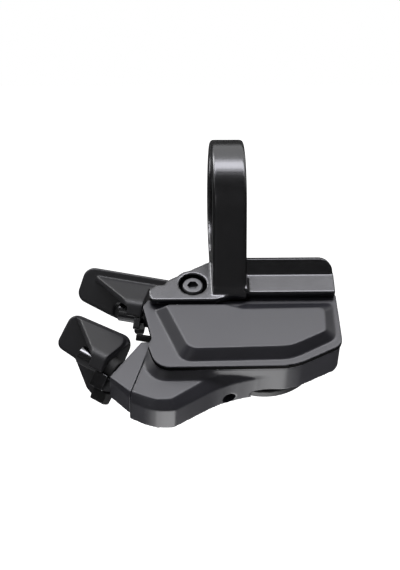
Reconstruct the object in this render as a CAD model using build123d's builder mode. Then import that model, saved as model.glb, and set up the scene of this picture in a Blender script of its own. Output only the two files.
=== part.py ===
from build123d import *
import os
from math import cos, radians, sin

# Trigger gear shifter for the right hand, sizes in millimetres and degrees
# The handlebar runs along X through the origin and Z is up
# Body sizes are u along the bar, v up the slope of the cover and n out of the cover

# Bar clamp
BAR_R = 11.1
BAND_THICK = 2.5
BAND_WIDE = 7.4
BAND_SOFT = 0.8
SPLIT_TOP = -9.4
SPLIT_GAP = 1.3
EAR_LEFT = -11.0
EAR_REACH = -23.2
EAR_NECK = -17.2
LEG_FOOT_V = -22.1
FOOT_RISE = 1.1
FOOT_REACH = 0.55

# Body slope and levels along n
SLOPE = 52.0
DECK_N = -6.0
DECK_THICK = 1.75
PANEL_N = -6.0
RIM_N = -8.0
PARTING_N = -9.3
REAR_N = -16.5
POD_N = -10.8
POD_REAR_N = -18.4
POD_CHAMFER = 1.6
CAP_REAR_N = -17.2
CAP_CHAMFER = 1.0
WALL = 1.6
PARTING_INSET = 0.25

# Bracket arm and ledge
ARM_END = -17.4
ARM_FRONT = -24.0
ARM_BACK = -19.5
LEDGE_END = 23.0
LEDGE_FRONT = -22.1
WALL_FRONT_Y = -9.6
WALL_BACK_Y = -7.4
WALL_TOP_Z = -11.6
WALL_CORNER = 3.0
RAIL_BACK_Y = -5.6

# Clamp bolt
BOLT_U = -7.9
BOLT_V = -19.4
BOLT_R = 1.5
BOLT_HEAD_R = 2.4
BOLT_HEAD_TALL = 1.9
BOLT_RECESS_R = 3.05
BOLT_HEX = 2.0
BOLT_BOSS_R = 4.1

# Battery
CELL_U = 7.2
CELL_V = -28.9
CELL_R = 10.0
CELL_THICK = 3.2
CELL_CLEAR = 0.25
BATTERY_CAP_R = 12.0
BATTERY_CAP_THICK = 2.3
CAP_GAP = 0.3
SPIGOT_CLEAR = 0.1

# Levers
LEAN = 48.5
SHAFT_R = 2.0
SHAFT_NECK_R = 1.5
SHAFT_CLEAR = 0.03
BUSH_R = 2.5
UPPER_FAN = 13.0
UPPER_AT = (-18.6, -22.25, -13.0)
LOWER_FAN = 35.0
LOWER_AT = (-23.8, -37.95, -14.25)
UPPER_FACE = -0.5
UPPER_STEP = -2.8
UPPER_TAIL = -5.9
UPPER_END = -6.7
LOWER_FACE = 0.0
LOWER_STEP = -4.2
LOWER_TAIL = -7.7
LOWER_END = -8.6
HUB_R = 2.4
HUB_ROOM = 0.3
END_GAP = 0.0
PAD_BACK = -5.8
PAD_THICK = 1.9
PAD_SOFT = 0.5
HOOD_FRONT = 4.2
HOOD_FOLD = 2.7
HOOD_FOLD_R = 2.4
UPPER_HEM = -0.5
LOWER_HEM = -0.9
HOOD_WALL = 1.5
ROOF = 1.9

UPPER_OUT = 5.6
TAIL_END = -4.0
LOWER_OUT = 10.4
UPPER_RIDGE = 7.0
LOWER_RIDGE = 7.7
LOWER_GAP = 1.0
LOWER_CREASE = 2.3
COLLAR_R = 3.0
UPPER_WALL_END = 3.3
LOWER_WALL_END = 6.0
ROOF_EDGE = 1.4
WIRE_R = 0.15
COIL_PITCH = 0.34
UPPER_COIL = 0.8
LOWER_COIL = 1.3
CAM_WIDE = 1.5
CAM_BACK = 0.3
COIL_R = 2.02
PINCH_R = 0.5
PINCH_AT = (-2.8, 2.8)
PINCH_FOOT = -2.5
PINCH_TOP = 1.3
UPPER_PINCH = 0.75
LOWER_PINCH = 3.2

# Fasteners and small clearances
SCREW_R = 0.8
SCREW_HEAD_R = 1.5
SCREW_HEAD_TALL = 1.0
FREE_GAP = 0.3
CAP_SCREW_Q = 6.2
CAP_SCREW_H = 0.3
CAP_SCREW_LONG = 6.0
SIDE_R = 1.25
SIDE_DEEP = 3.4
SIDE_SUNK = 2.0

# Tray and its contents
FLOOR_N = -14.4
LUG_TOP = -9.7
LUG_REAR = -17.4
LUG_FRONT = -27.2
DECK_REAR = -10.8
BOARD_THICK = 0.8
SEAL_DEEP = 0.6
SEAL_WIDE = 0.6
CONTACT_THICK = 0.3
SPIGOT_TALL = 1.1
UPPER_SWITCH = (-14.6, -28.2)

BODY = Plane(
    origin=(0, 0, 0),
    x_dir=(1, 0, 0),
    z_dir=(0, -cos(radians(SLOPE)), sin(radians(SLOPE))),
)
BAND_R = BAR_R + BAND_THICK
DECK_UNDER = DECK_N - DECK_THICK
EAR_TOP = SPLIT_TOP - SPLIT_GAP
PAD_FRONT = PAD_BACK + PAD_THICK
WELL_R = CELL_R + CELL_CLEAR
WELL_TOP = REAR_N + SPIGOT_TALL + CAP_GAP - 0.05 + CELL_THICK + CONTACT_THICK
RING_R = WELL_R - SPIGOT_CLEAR - 0.35
CAP_EDGE = CELL_V - BATTERY_CAP_R
STOP_TOP = -4.2
STOP_BACK = -1.6
STOP_IN = -2.8


def level(n):
    """Plane of the body slope at height n."""
    return BODY.offset(n)


def yz(v, n):
    """Section point (y, z) of a body point (v, n)."""
    p = BODY.from_local_coords((0, v, n))
    return (p.Y, p.Z)


def heading(u, v, n):
    """World direction of a body direction."""
    return BODY.from_local_coords((u, v, n)) - BODY.origin


def outline(corners):
    """Fill a closed outline given as (x, y, corner radius)."""
    with BuildLine() as path:
        Polyline(*[(x, y) for x, y, r in corners], close=True)
    make_face(path.edges())
    for x, y, r in corners:
        if r > 0:
            fillet(vertices().sort_by_distance((x, y, 0))[0], radius=r)


def lever_plane(at, fan):
    """Section plane of a lever: x to the front, y up, z outward along its shaft."""
    lean = radians(LEAN)
    turn = radians(fan)
    outward = heading(-cos(turn), sin(turn), 0)
    front = heading(-cos(lean) * sin(turn), -cos(lean) * cos(turn), sin(lean))
    return Plane(origin=BODY.from_local_coords(at), x_dir=front, z_dir=outward)


def face_plane(lever, depth):
    """Plane facing the front of a lever: x inward, y up."""
    return Plane(
        origin=lever.from_local_coords((depth, 0, 0)),
        x_dir=lever.z_dir * -1,
        z_dir=lever.x_dir,
    )


def plan_plane(lever, height):
    """Plane facing up from a lever: x to the front, y inward."""
    return Plane(
        origin=lever.from_local_coords((0, height, 0)),
        x_dir=lever.x_dir,
        z_dir=lever.y_dir,
    )


def shaft_plane(lever, along):
    """Plane across a lever's shaft with x up the slope and y out of the cover."""
    turn = radians(UPPER_FAN if lever is UPPER else LOWER_FAN)
    return Plane(
        origin=lever.from_local_coords((0, 0, along)),
        x_dir=heading(sin(turn), cos(turn), 0),
        z_dir=lever.z_dir * -1,
    )


UPPER = lever_plane(UPPER_AT, UPPER_FAN)
LOWER = lever_plane(LOWER_AT, LOWER_FAN)

# Outline of the front cover, seen square on
COVER = [
    (-18.9, -23.9, 1.0),
    (-17.1, -32.9, 0.8),
    (-17.9, -35.0, 0.4),
    (-16.1, -41.05, 4.0),
    (12.9, -40.8, 7.0),
    (23.6, -35.2, 3.2),
    (23.3, -20.9, 0.5),
    (4.4, -20.9, 0.4),
    (4.2, -22.6, 0.4),
    (-1.0, -22.6, 0.4),
    (-3.4, -23.7, 0.4),
    (-12.2, -23.7, 0.4),
    (-13.4, -22.0, 0.4),
    (-17.6, -22.0, 0.5),
]
PANEL_FOOT = [
    (-16.4, -24.7, 0.5),
    (-10.9, -39.4, 3.2),
    (12.5, -39.0, 5.0),
    (22.2, -33.6, 2.4),
    (22.3, -23.7, 1.2),
    (3.6, -23.7, 0.8),
    (1.6, -24.7, 0.6),
]
PANEL_TOP = [
    (-13.9, -25.3, 0.5),
    (-9.2, -37.6, 2.8),
    (12.2, -37.1, 4.2),
    (19.9, -33.0, 1.6),
    (20.2, -26.4, 1.2),
    (2.6, -26.6, 0.8),
    (-0.9, -25.3, 0.6),
]
POD = [
    (-19.2, -31.5, 0.0),
    (-26.3, -41.5, 0.4),
    (-21.8, -46.4, 4.0),
    (-16.4, -49.3, 2.0),
    (-12.4, -48.9, 0.8),
    (-2.4, CAP_EDGE - 1.8, 4.0),
    (1.6, CAP_EDGE - 0.8, 3.0),
    (11.6, -38.7, 0.0),
    (11.6, -35.0, 0.0),
    (-16.0, -31.6, 0.0),
]
POD_TOP = [
    (-19.2, -31.5, 0.0),
    (-26.1, -41.2, 0.3),
    (-21.5, -45.1, 4.0),
    (-16.2, -47.5, 1.2),
    (-13.2, -47.2, 0.5),
    (-4.4, -41.1, 2.0),
    (0.2, -40.4, 2.0),
    (10.0, -38.7, 0.0),
    (10.0, -35.0, 0.0),
    (-16.0, -31.6, 0.0),
]
CAP = [
    (-19.3, -31.7, 0.0),
    (-26.1, -41.3, 0.4),
    (-21.9, -45.8, 4.0),
    (-16.0, -48.4, 0.0),
    (-16.0, -31.7, 0.0),
]
CAP_TOP = [
    (-19.3, -31.7, 0.0),
    (-26.0, -41.1, 0.3),
    (-21.7, -45.1, 4.0),
    (-16.0, -47.4, 0.0),
    (-16.0, -31.7, 0.0),
]
CAVITY = [
    (-16.2, -26.4, 0.5),
    (-15.2, -34.0, 0.8),
    (-11.8, -39.2, 1.5),
    (12.0, -39.2, 2.0),
    (21.6, -34.4, 1.0),
    (21.6, -22.8, 0.8),
    (4.2, -22.8, 0.5),
    (2.2, -26.4, 0.5),
]
BOARD = [
    (-15.9, -26.8, 0.3),
    (-15.2, -31.0, 0.3),
    (-12.4, -33.6, 0.3),
    (-10.6, -38.6, 0.5),
    (-4.6, -38.6, 0.5),
    (-5.4, -26.8, 0.5),
]
SEAM_TOP = (-17.4, -33.0)
SEAM_LOW = (-21.9, -46.4)
UPPER_PAD = [
    (15.1, 8.6, 2.6),
    (16.3, 1.3, 2.4),
    (6.6, -1.8, 0.6),
    (2.5, -1.9, 0.7),
    (2.1, -4.5, 0.8),
    (END_GAP, -4.5, 0.7),
    (END_GAP, 5.4, 0.0),
    (TAIL_END, 5.4, 0.6),
    (TAIL_END, 8.5, 0.8),
]
LOWER_PAD = [
    (2.7, 7.7, 2.4),
    (18.2, 6.6, 2.4),
    (18.5, -1.6, 1.8),
    (12.9, -2.1, 0.8),
    (7.6, -6.5, 1.0),
    (4.4, -7.8, 0.8),
    (1.8, -7.5, 0.8),
    (2.4, -2.0, 0.8),
]
SKIRT_FOOT = [
    (-15.0, -33.5, 0.0),
    (-19.4, -34.8, 0.0),
    (-17.6, -42.4, 5.0),
    (-6.8, -42.3, 0.6),
    (-3.0, -40.9, 0.6),
    (2.0, -40.6, 0.0),
    (2.0, -36.0, 0.0),
]
SKIRT_TOP = [
    (-15.0, -33.5, 0.0),
    (-17.75, -34.9, 0.0),
    (-15.95, -40.75, 3.8),
    (-6.8, -40.7, 0.3),
    (-3.0, -40.65, 0.3),
    (2.0, -40.55, 0.0),
    (2.0, -36.0, 0.0),
]
COVER_SCREWS = [(-9.0, -28.2), (-10.0, -36.2), (20.6, -34.0), (20.6, -23.6)]
BRACKET_SCREWS = [(8.5, -15.0), (19.0, -15.0)]
SEAM = Plane(
    origin=BODY.from_local_coords((SEAM_TOP[0], SEAM_TOP[1], 0)),
    x_dir=BODY.z_dir,
    z_dir=heading(SEAM_TOP[1] - SEAM_LOW[1], SEAM_LOW[0] - SEAM_TOP[0], 0),
)

SIDE_HOLE = Plane(
    origin=BODY.from_local_coords((-0.7, CAP_EDGE - 1.4, -16.9)),
    x_dir=(1, 0, 0),
    z_dir=heading(0, -1, 0),
)

# Clamp band: ring, straight front leg, foot and the ear below the split
with BuildPart() as band:
    with BuildSketch(Plane.YZ.offset(-BAND_WIDE / 2)):
        Circle(BAND_R)
        with BuildLine() as leg:
            Polyline(
                (-BAND_R, 0),
                (-BAND_R, yz(LEG_FOOT_V, DECK_N)[1]),
                yz(LEG_FOOT_V, SPLIT_TOP),
                yz(-6.0, SPLIT_TOP),
                (0, 0),
                close=True,
            )
        make_face(leg.edges())
        with BuildLine() as ear:
            Polyline(
                yz(EAR_NECK, EAR_TOP),
                yz(EAR_NECK, -BAND_R),
                yz(0, -BAND_R),
                yz(0, EAR_TOP),
                close=True,
            )
        make_face(ear.edges())
        with BuildLine() as slit:
            Polyline(
                yz(EAR_REACH - 2, SPLIT_TOP),
                yz(EAR_REACH - 2, EAR_TOP),
                yz(-3.0, EAR_TOP),
                yz(-3.0, SPLIT_TOP),
                close=True,
            )
        make_face(slit.edges(), mode=Mode.SUBTRACT)
    extrude(amount=BAND_WIDE)
    with BuildSketch(Plane.YZ.offset(-BAND_WIDE / 2)):
        Circle(BAR_R)
    extrude(amount=BAND_WIDE, mode=Mode.SUBTRACT)
    rims = band.edges().filter_by(GeomType.CIRCLE).filter_by(lambda e: abs(e.radius - BAND_R) < 0.01)
    sides = band.edges().filter_by(Axis.Z).filter_by(lambda e: abs(e.center().Y + BAND_R) < 0.01)
    fillet(rims + sides, radius=BAND_SOFT)

with BuildPart() as clamp_bracket:
    add(band.part)
    # arm to the left, level with the ledge
    with BuildSketch(level(DECK_UNDER)):
        outline([
            (ARM_END, ARM_BACK - 1.2, 1.2),
            (ARM_END, ARM_FRONT, 1.4),
            (-3.2, ARM_FRONT, 2.0),
            (0.4, LEDGE_FRONT - 0.6, 2.0),
            (BAND_WIDE / 2, LEDGE_FRONT - 0.6, 0.0),
            (BAND_WIDE / 2, -14.5, 0.0),
            (-BAND_WIDE / 2, -12.5, 0.0),
            (-9.8, -16.1, 1.0),
            (-13.4, -18.2, 0.8),
            (-14.2, ARM_BACK, 0.4),
            (ARM_END + 1.6, ARM_BACK, 1.0),
        ])
    extrude(amount=DECK_THICK)
    # ledge to the right
    with BuildSketch(level(DECK_UNDER)):
        outline([
            (0.0, LEDGE_FRONT, 0.0),
            (LEDGE_END, LEDGE_FRONT, 0.5),
            (LEDGE_END, -16.4, 0.3),
            (0.0, -16.4, 0.0),
        ])
    extrude(amount=DECK_THICK)
    # upright wall behind the ledge, with its rail for the screws
    with BuildSketch(Plane.YZ):
        with BuildLine() as rail:
            Polyline(
                (WALL_FRONT_Y, WALL_TOP_Z),
                (WALL_BACK_Y, WALL_TOP_Z),
                (WALL_BACK_Y, WALL_TOP_Z - 1.6),
                (RAIL_BACK_Y, WALL_TOP_Z - 2.6),
                yz((RAIL_BACK_Y + DECK_UNDER * cos(radians(SLOPE))) / sin(radians(SLOPE)), DECK_UNDER),
                yz(-18.0, DECK_UNDER),
                close=True,
            )
        make_face(rail.edges())
    extrude(amount=LEDGE_END - 0.2)
    with BuildSketch(Plane.XZ.offset(5.0)):
        with BuildLine() as corner:
            Polyline(
                (LEDGE_END + 1, WALL_TOP_Z + 1),
                (LEDGE_END - 0.2 - WALL_CORNER, WALL_TOP_Z + 1),
                (LEDGE_END - 0.2 - WALL_CORNER, WALL_TOP_Z),
            )
            RadiusArc(
                (LEDGE_END - 0.2 - WALL_CORNER, WALL_TOP_Z),
                (LEDGE_END - 0.2, WALL_TOP_Z - WALL_CORNER),
                WALL_CORNER,
            )
            Polyline(
                (LEDGE_END - 0.2, WALL_TOP_Z - WALL_CORNER),
                (LEDGE_END + 1, WALL_TOP_Z - WALL_CORNER),
                (LEDGE_END + 1, WALL_TOP_Z + 1),
            )
        make_face(corner.edges())
    extrude(amount=8.0, mode=Mode.SUBTRACT)
    # sloped foot of the leg, in front and at the right
    with BuildSketch(Plane.YZ.offset(-BAND_WIDE / 2)):
        with BuildLine() as foot:
            Polyline(
                (-BAND_R, yz(LEG_FOOT_V, DECK_N)[1] + FOOT_RISE),
                yz(LEG_FOOT_V - FOOT_REACH, DECK_N),
                yz(LEG_FOOT_V - FOOT_REACH, DECK_N - 0.4),
                yz(LEG_FOOT_V + 1.2, DECK_N - 0.4),
                close=True,
            )
        make_face(foot.edges())
    extrude(amount=BAND_WIDE)
    with BuildSketch(Plane(BODY.from_local_coords((0, LEG_FOOT_V, 0)), BODY.x_dir, BODY.y_dir)):
        with BuildLine() as heel:
            Polyline(
                (BAND_WIDE / 2 - 0.4, -DECK_N - FOOT_RISE),
                (BAND_WIDE / 2, -DECK_N - FOOT_RISE),
                (BAND_WIDE / 2 + FOOT_REACH, -DECK_N),
                (BAND_WIDE / 2 + FOOT_REACH, -DECK_N + 0.4),
                (BAND_WIDE / 2 - 0.4, -DECK_N + 0.4),
                close=True,
            )
        make_face(heel.edges())
    extrude(amount=4.0)
    # bolt boss above the split and ear below it
    with BuildSketch(level(SPLIT_TOP)):
        with Locations((BOLT_U, BOLT_V)):
            Circle(BOLT_BOSS_R)
        outline([
            (BOLT_U, BOLT_V - BOLT_BOSS_R, 0.0),
            (0.0, LEG_FOOT_V, 0.0),
            (0.0, -13.0, 0.0),
            (-BAND_WIDE / 2, -12.5, 0.0),
            (BOLT_U, BOLT_V + BOLT_BOSS_R, 0.0),
        ])
    extrude(amount=DECK_N - SPLIT_TOP)
    with BuildSketch(level(-BAND_R)):
        outline([
            (EAR_LEFT, EAR_REACH, 2.0),
            (-4.8, EAR_REACH, 1.0),
            (-2.4, EAR_NECK, 0.0),
            (0.0, EAR_NECK, 0.0),
            (0.0, -9.0, 0.0),
            (-BAND_WIDE / 2, -9.0, 0.0),
            (EAR_LEFT, -16.0, 2.0),
        ])
    extrude(amount=EAR_TOP + BAND_R)
    # recess, bolt hole and bore
    with BuildSketch(level(DECK_N)):
        with Locations((BOLT_U, BOLT_V)):
            Circle(BOLT_RECESS_R)
    extrude(amount=-BOLT_HEAD_TALL, mode=Mode.SUBTRACT)
    with BuildSketch(level(DECK_N)):
        with Locations((BOLT_U, BOLT_V)):
            Circle(BOLT_R)
    extrude(amount=-12.0, mode=Mode.SUBTRACT)
    with BuildSketch(level(DECK_UNDER)):
        with Locations(*BRACKET_SCREWS):
            Circle(SCREW_R)
    extrude(amount=2.2, mode=Mode.SUBTRACT)
    with BuildSketch(Plane.YZ.offset(-40)):
        Circle(BAR_R)
    extrude(amount=80, mode=Mode.SUBTRACT)
clamp_bracket.part.label = "clamp_bracket"

# Clamp bolt with hex socket
with BuildPart() as clamp_bolt:
    with BuildSketch(level(DECK_N - BOLT_HEAD_TALL)):
        with Locations((BOLT_U, BOLT_V)):
            Circle(BOLT_HEAD_R)
    extrude(amount=BOLT_HEAD_TALL - 0.35)
    chamfer(clamp_bolt.faces().sort_by(Axis(BODY.origin, BODY.z_dir))[-1].edges(), length=0.35)
    with BuildSketch(level(DECK_N - BOLT_HEAD_TALL)):
        with Locations((BOLT_U, BOLT_V)):
            Circle(BOLT_R)
    extrude(amount=-(DECK_N - BOLT_HEAD_TALL + BAND_R))
    with BuildSketch(level(DECK_N)):
        with Locations((BOLT_U, BOLT_V)):
            RegularPolygon(BOLT_HEX / 2, 6, major_radius=False)
    extrude(amount=-1.5, mode=Mode.SUBTRACT)
clamp_bolt.part.label = "clamp_bolt"

# Front cover: thin rim and raised panel, hollow behind
with BuildPart() as front_cover:
    with BuildSketch(level(PARTING_N)):
        outline(COVER)
    extrude(amount=RIM_N - PARTING_N)
    with BuildSketch(level(RIM_N - 0.02)):
        outline(PANEL_FOOT)
    with BuildSketch(level(PANEL_N)):
        outline(PANEL_TOP)
    loft(ruled=True)
    with BuildSketch(level(PARTING_N)):
        outline([
            (-11.6, -30.8, 0.8),
            (-7.6, -34.0, 1.6),
            (11.5, -35.0, 2.0),
            (17.4, -32.0, 1.0),
            (17.6, -28.4, 1.0),
            (2.0, -28.2, 0.6),
            (-6.4, -30.8, 0.6),
        ])
    extrude(amount=PANEL_N - WALL - PARTING_N, mode=Mode.SUBTRACT)
    with BuildSketch(level(PARTING_N)):
        with Locations(*COVER_SCREWS):
            Circle(SCREW_R)
    extrude(amount=1.0, mode=Mode.SUBTRACT)
front_cover.part.label = "front_cover"

# Pod with bevelled top, parted at the seam
with BuildPart() as pod:
    with BuildSketch(level(POD_REAR_N)):
        outline(POD)
    extrude(amount=POD_N - POD_CHAMFER - POD_REAR_N)
    with BuildSketch(level(POD_N - POD_CHAMFER)):
        outline(POD)
    with BuildSketch(level(POD_N)):
        outline(POD_TOP)
    loft(ruled=True)
    split(bisect_by=SEAM, keep=Keep.TOP)

# Main housing: tray, screw deck, shaft lug, pod and battery well
with BuildPart() as main_housing:
    with BuildSketch(level(REAR_N)):
        outline(COVER)
        offset(amount=-PARTING_INSET)
    extrude(amount=PARTING_N - REAR_N)
    with BuildSketch(level(REAR_N)):
        outline([
            (5.0, -24.0, 0.0),
            (23.05, -24.0, 0.0),
            (23.05, -16.8, 1.2),
            (5.0, -16.8, 1.2),
        ])
    extrude(amount=PARTING_N - REAR_N)
    with BuildSketch(level(DECK_REAR)):
        outline([
            (5.0, COVER[6][1] + FREE_GAP, 0.3),
            (22.9, COVER[6][1] + FREE_GAP, 0.3),
            (22.9, -13.0, 0.8),
            (5.0, -13.0, 0.8),
        ])
    extrude(amount=DECK_UNDER - DECK_REAR)
    with BuildSketch(level(LUG_REAR)):
        outline([
            (-19.22, LUG_FRONT, 0.3),
            (EAR_LEFT - 0.4, LUG_FRONT, 0.0),
            (EAR_LEFT - 0.4, -18.7, 1.0),
            (-17.25, -18.7, 1.0),
        ])
    extrude(amount=LUG_TOP - LUG_REAR)
    add(pod.part)
    # sloped skirt from the tray's wall to the top of the pod
    with BuildSketch(level(POD_N)):
        outline(SKIRT_FOOT)
    with BuildSketch(level(PARTING_N - 0.05)):
        outline(SKIRT_TOP)
    loft(ruled=True)
    with BuildSketch(level(FLOOR_N)):
        outline(CAVITY)
    extrude(amount=PARTING_N - FLOOR_N, mode=Mode.SUBTRACT)
    with BuildSketch(level(PARTING_N - SEAL_DEEP)):
        outline(CAVITY)
        offset(amount=SEAL_WIDE)
    extrude(amount=SEAL_DEEP, mode=Mode.SUBTRACT)
    with BuildSketch(level(REAR_N)):
        with Locations((CELL_U, CELL_V)):
            Circle(WELL_R + 1.1)
    extrude(amount=WELL_TOP + 0.8 - REAR_N)
    with BuildSketch(level(REAR_N)):
        with Locations(*COVER_SCREWS):
            Circle(2.0)
    extrude(amount=PARTING_N - SEAL_DEEP - REAR_N)
    with BuildSketch(shaft_plane(LOWER, -2.0)):
        with Locations((CAP_SCREW_Q, CAP_SCREW_H)):
            Circle(1.7)
    extrude(amount=5.6)
    split(bisect_by=SEAM, keep=Keep.TOP)
    # well for the cell, from the rear
    with BuildSketch(level(REAR_N)):
        with Locations((CELL_U, CELL_V)):
            Circle(WELL_R)
    extrude(amount=WELL_TOP - REAR_N, mode=Mode.SUBTRACT)
    # room for the battery cap to turn beside the pod
    with BuildSketch(level(REAR_N)):
        with Locations((CELL_U, CELL_V)):
            Circle(BATTERY_CAP_R + FREE_GAP)
    extrude(amount=POD_REAR_N - REAR_N - 1.0, mode=Mode.SUBTRACT)
    # screw holes
    with BuildSketch(level(REAR_N)):
        with Locations(*COVER_SCREWS):
            Circle(SCREW_R)
    extrude(amount=PARTING_N - REAR_N, mode=Mode.SUBTRACT)
    with BuildSketch(level(REAR_N)):
        with Locations(*COVER_SCREWS):
            Circle(SCREW_HEAD_R)
    extrude(amount=SCREW_HEAD_TALL, mode=Mode.SUBTRACT)
    with BuildSketch(level(DECK_REAR)):
        with Locations(*BRACKET_SCREWS):
            Circle(SCREW_R)
    extrude(amount=DECK_UNDER - DECK_REAR, mode=Mode.SUBTRACT)
    with BuildSketch(shaft_plane(LOWER, 0)):
        with Locations((CAP_SCREW_Q, CAP_SCREW_H)):
            Circle(SCREW_R)
    extrude(amount=CAP_SCREW_LONG, mode=Mode.SUBTRACT)
    # blind hole in the lower flank
    with BuildSketch(SIDE_HOLE):
        Circle(SIDE_R)
    extrude(amount=-SIDE_DEEP, mode=Mode.SUBTRACT)
    # notch under the lug for the upper rubber stop
    with BuildSketch(UPPER.offset(STOP_IN)):
        outline([
            (STOP_BACK, STOP_TOP, 0.0),
            (9.0, STOP_TOP, 0.0),
            (9.0, -9.0, 0.0),
            (STOP_BACK, -9.0, 0.0),
        ])
    extrude(amount=3.4, mode=Mode.SUBTRACT)
    # upper shaft: bush seat, cam room and tail bearing
    with BuildSketch(shaft_plane(UPPER, 1.0)):
        Circle(BUSH_R)
    extrude(amount=1.0 - UPPER_STEP, mode=Mode.SUBTRACT)
    with BuildSketch(shaft_plane(UPPER, UPPER_STEP)):
        Circle(HUB_R + HUB_ROOM)
        with Locations((-3.4, 0.3)):
            Rectangle(6.8, 5.4)
    extrude(amount=UPPER_STEP - UPPER_TAIL, mode=Mode.SUBTRACT)
    with BuildSketch(shaft_plane(UPPER, UPPER_TAIL)):
        Circle(SHAFT_NECK_R + SHAFT_CLEAR)
    extrude(amount=UPPER_TAIL - UPPER_END + 0.1, mode=Mode.SUBTRACT)
    # lower shaft: cam room and tail bearing
    with BuildSketch(shaft_plane(LOWER, -3.0)):
        Circle(HUB_R + HUB_ROOM)
    extrude(amount=-3.0 - LOWER_TAIL, mode=Mode.SUBTRACT)
    with BuildSketch(shaft_plane(LOWER, -3.0)):
        with Locations((-2.2, -0.8)):
            Rectangle(4.4, 3.8)
    extrude(amount=-3.0 - LOWER_TAIL, mode=Mode.SUBTRACT)
    with BuildSketch(shaft_plane(LOWER, LOWER_TAIL)):
        Circle(SHAFT_NECK_R + SHAFT_CLEAR)
    extrude(amount=LOWER_TAIL - LOWER_END + 0.1, mode=Mode.SUBTRACT)
main_housing.part.label = "main_housing"

# End cap of the pod, carrying the lower shaft
with BuildPart() as pivot_cap:
    with BuildSketch(level(CAP_REAR_N)):
        outline(CAP)
    extrude(amount=POD_N - CAP_CHAMFER - CAP_REAR_N)
    with BuildSketch(level(POD_N - CAP_CHAMFER)):
        outline(CAP)
    with BuildSketch(level(POD_N)):
        outline(CAP_TOP)
    loft(ruled=True)
    split(bisect_by=SEAM, keep=Keep.BOTTOM)
    with BuildSketch(shaft_plane(LOWER, 1.0)):
        Circle(BUSH_R)
    extrude(amount=8.0, mode=Mode.SUBTRACT)
    with BuildSketch(shaft_plane(LOWER, 1.0)):
        with Locations((CAP_SCREW_Q, CAP_SCREW_H)):
            Circle(SCREW_R)
    extrude(amount=8.0, mode=Mode.SUBTRACT)
    with BuildSketch(shaft_plane(LOWER, 1.0)):
        with Locations((CAP_SCREW_Q, CAP_SCREW_H)):
            Circle(SCREW_HEAD_R)
    extrude(amount=1.0 + SCREW_HEAD_TALL, mode=Mode.SUBTRACT)
pivot_cap.part.label = "pivot_cap"

# Seal lying in the step around the tray
with BuildPart() as cover_seal:
    with BuildSketch(level(PARTING_N - SEAL_DEEP)):
        outline(CAVITY)
        offset(amount=SEAL_WIDE)
    extrude(amount=SEAL_DEEP)
    with BuildSketch(level(PARTING_N - SEAL_DEEP)):
        outline(CAVITY)
    extrude(amount=SEAL_DEEP, mode=Mode.SUBTRACT)
    with BuildSketch(level(PARTING_N - SEAL_DEEP)):
        with Locations(*COVER_SCREWS):
            Circle(SCREW_R + 0.2)
    extrude(amount=SEAL_DEEP, mode=Mode.SUBTRACT)
cover_seal.part.label = "cover_seal"

# Circuit board on the tray floor
with BuildPart() as circuit_board:
    with BuildSketch(level(FLOOR_N)):
        outline(BOARD)
        with Locations(*COVER_SCREWS[:2]):
            Circle(2.2, mode=Mode.SUBTRACT)
    extrude(amount=BOARD_THICK)
circuit_board.part.label = "circuit_board"

with BuildPart() as radio_chips:
    with BuildSketch(level(FLOOR_N + BOARD_THICK)):
        with Locations((-7.6, -32.0)):
            Rectangle(3.6, 3.6)
        with Locations((-6.4, -36.4)):
            Rectangle(2.4, 1.8)
    extrude(amount=0.9)
radio_chips.part.label = "radio_chips"

# Push switches under the two cams
with BuildPart() as upper_switch:
    with BuildSketch(level(FLOOR_N + BOARD_THICK)):
        with Locations(UPPER_SWITCH):
            Rectangle(2.4, 2.4)
    extrude(amount=0.6)
    with BuildSketch(level(FLOOR_N + BOARD_THICK + 0.6)):
        with Locations(UPPER_SWITCH):
            Circle(0.7)
    extrude(amount=0.2)
upper_switch.part.label = "upper_switch"

with BuildPart() as lower_switch:
    with BuildSketch(shaft_plane(LOWER, LOWER_TAIL + 1.8)):
        with Locations((-3.0, -2.25)):
            Rectangle(2.0, 0.9)
    extrude(amount=1.7)
    with BuildSketch(shaft_plane(LOWER, LOWER_TAIL + 1.4)):
        with Locations((-3.0, -1.7)):
            Rectangle(1.0, 0.3)
    extrude(amount=0.8)
lower_switch.part.label = "lower_switch"

# Battery: contact leaf, coin cell, cap with coin slot and its ring seal
with BuildPart() as battery_contact:
    with BuildSketch(level(WELL_TOP)):
        with Locations((CELL_U, CELL_V)):
            SlotOverall(14.0, 3.0)
            SlotOverall(14.0, 3.0, rotation=90)
    extrude(amount=-CONTACT_THICK)
battery_contact.part.label = "battery_contact"

with BuildPart() as coin_cell:
    with BuildSketch(level(WELL_TOP - CONTACT_THICK)):
        with Locations((CELL_U, CELL_V)):
            Circle(CELL_R - 0.8)
    extrude(amount=-0.4)
    with BuildSketch(level(WELL_TOP - CONTACT_THICK - 0.4)):
        with Locations((CELL_U, CELL_V)):
            Circle(CELL_R)
    extrude(amount=-(CELL_THICK - 0.4))
coin_cell.part.label = "coin_cell"

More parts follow.
